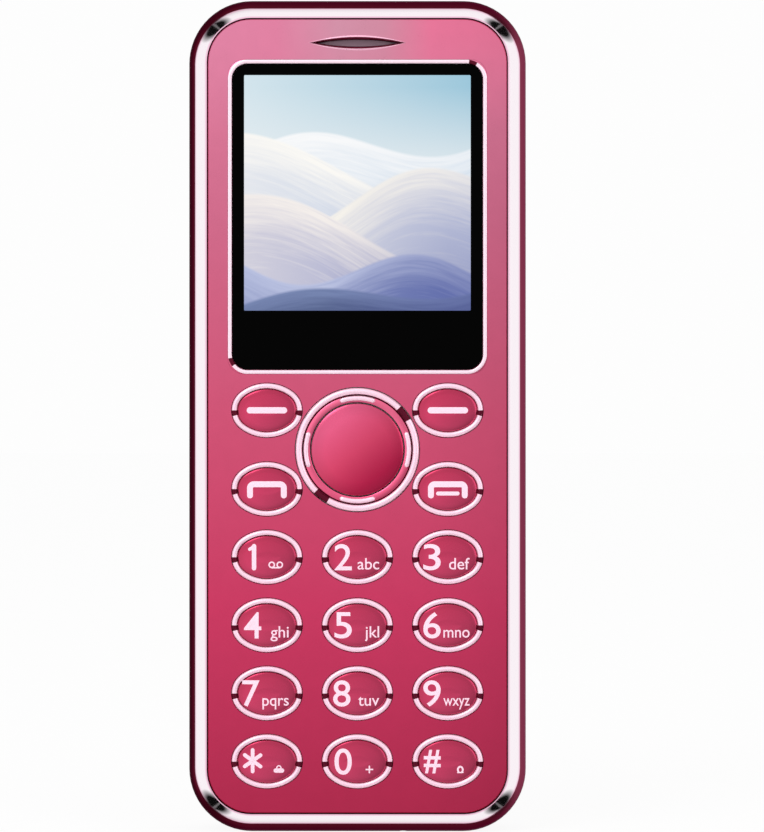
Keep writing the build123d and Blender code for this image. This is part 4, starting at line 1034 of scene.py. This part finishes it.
def studioWorld():
    # white surroundings, and a soft light in front that falls off to the lower right
    world = bpy.data.worlds.new("studioWorld")
    scene.world = world
    world.use_nodes = True
    tree = world.node_tree
    tree.nodes.clear()
    x, y, z = axes(tree, addNode(tree, "ShaderNodeTexCoord").outputs["Generated"])
    s = studioLook
    slope = plus(tree, times(tree, x, s["acrossLight"]), times(tree, z, s["upLight"]))
    front = mathNode(tree, "MAXIMUM", times(tree, plus(tree, slope, 1.0), s["frontLevel"]), s["least"])
    inFront = scaleTo(tree, times(tree, y, -1.0), 0.0, 1.0, *s["inFront"])
    light = plus(tree, times(tree, front, inFront), times(tree, minus(tree, 1.0, inFront), s["level"]))
    # dark cards: a direction off each corner, mirrored over both axes
    card = Vector(s["card"]).normalized()
    toCard = plus(tree, times(tree, absolute(tree, x), card.x),
                  plus(tree, times(tree, absolute(tree, z), card.z), times(tree, y, -card.y)))
    isCard = scaleTo(tree, toCard, 0.0, 1.0, *s["cardEdge"])
    lean = minus(tree, absolute(tree, x), absolute(tree, z))
    inSlit = times(tree, mathNode(tree, "GREATER_THAN", lean, s["slit"][0]),
                   mathNode(tree, "LESS_THAN", lean, s["slit"][1]))
    isCard = times(tree, isCard, minus(tree, 1.0, times(tree, inSlit, s["slitShare"])))
    light = times(tree, light, scaleTo(tree, isCard, 1.0, s["dark"]))
    # the room behind the phone is dimmer on its left
    behind = scaleTo(tree, y, 0.0, 1.0, *s["behind"])
    dim = times(tree, behind, scaleTo(tree, x, 1.0 - s["behindLeft"], 0.0, *s["behindAcross"]))
    light = times(tree, light, minus(tree, 1.0, dim))
    studio = addNode(tree, "ShaderNodeBackground")
    tree.links.new(light, studio.inputs["Color"])
    plain = addNode(tree, "ShaderNodeBackground", {"Color": (1, 1, 1, 1), "Strength": s["backdrop"]})
    toCamera = addNode(tree, "ShaderNodeLightPath").outputs["Is Camera Ray"]
    out = addNode(tree, "ShaderNodeOutputWorld")
    tree.links.new(mixShaders(tree, toCamera, studio.outputs[0], plain.outputs[0]), out.inputs[0])


studioWorld()


def floorFinish():
    # pale paper: it shows white to the camera but for the shadow, and mirrors see the studio through it
    material, tree, shader = shaderOf("paleFloor", {"Base Color": tone(*studioLook["floor"]),
                                                    "Specular IOR Level": 0.1})
    wearAndGrain(tree, shader, *studioLook["floorWear"])
    glow = addNode(tree, "ShaderNodeEmission", {"Color": (1, 1, 1, 1), "Strength": 1.0})
    clear = addNode(tree, "ShaderNodeBsdfTransparent")
    ray = addNode(tree, "ShaderNodeLightPath").outputs
    seen = times(tree, ray["Is Camera Ray"], studioLook["floorGlow"])
    paper = mixShaders(tree, seen, shader.outputs[0], glow.outputs[0])
    out = next(n for n in tree.nodes if n.type == "OUTPUT_MATERIAL")
    tree.links.new(mixShaders(tree, ray["Is Glossy Ray"], paper, clear.outputs[0]), out.inputs[0])
    return material


floorMesh = bpy.data.meshes.new("floor")
reach, floorZ = studioLook["floorSize"], studioLook["floorZ"] * mm
floorMesh.from_pydata([(-reach, -reach, floorZ), (reach, -reach, floorZ), (reach, reach, floorZ),
                       (-reach, reach, floorZ)], [], [(0, 1, 2, 3)])
floorMesh.materials.append(floorFinish())
floor = bpy.data.objects.new("floor", floorMesh)
scene.collection.objects.link(floor)

# each lamp: place, power and size; all are turned to the phone's middle
lamps = {"keyLamp": ((-0.35, -0.55, 0.55), 1.6, 0.4), "fillLamp": ((0.5, -0.45, 0.2), 0.5, 0.4)}
for name, (place, power, size) in lamps.items():
    lamp = bpy.data.lights.new(name, "AREA")
    lamp.energy = power
    lamp.size = size
    holder = bpy.data.objects.new(name, lamp)
    holder.location = place
    toPhone = Vector((0, 0, faceHigh / 2)) - Vector(place)
    holder.rotation_euler = toPhone.to_track_quat("-Z", "Y").to_euler()
    scene.collection.objects.link(holder)

camera = bpy.data.objects.new("camera", bpy.data.cameras.new("camera"))
camera.data.lens = studioLook["lens"]
camera.data.sensor_width = studioLook["sensor"]
camera.data.clip_start = 0.01
camera.location = (studioLook["aimX"] * mm, frontY - studioLook["distance"], faceHigh / 2)
camera.rotation_euler = (radians(90), 0, 0)
scene.collection.objects.link(camera)
scene.camera = camera
scene.view_settings.view_transform = "Standard"
print("floor, light and camera set")
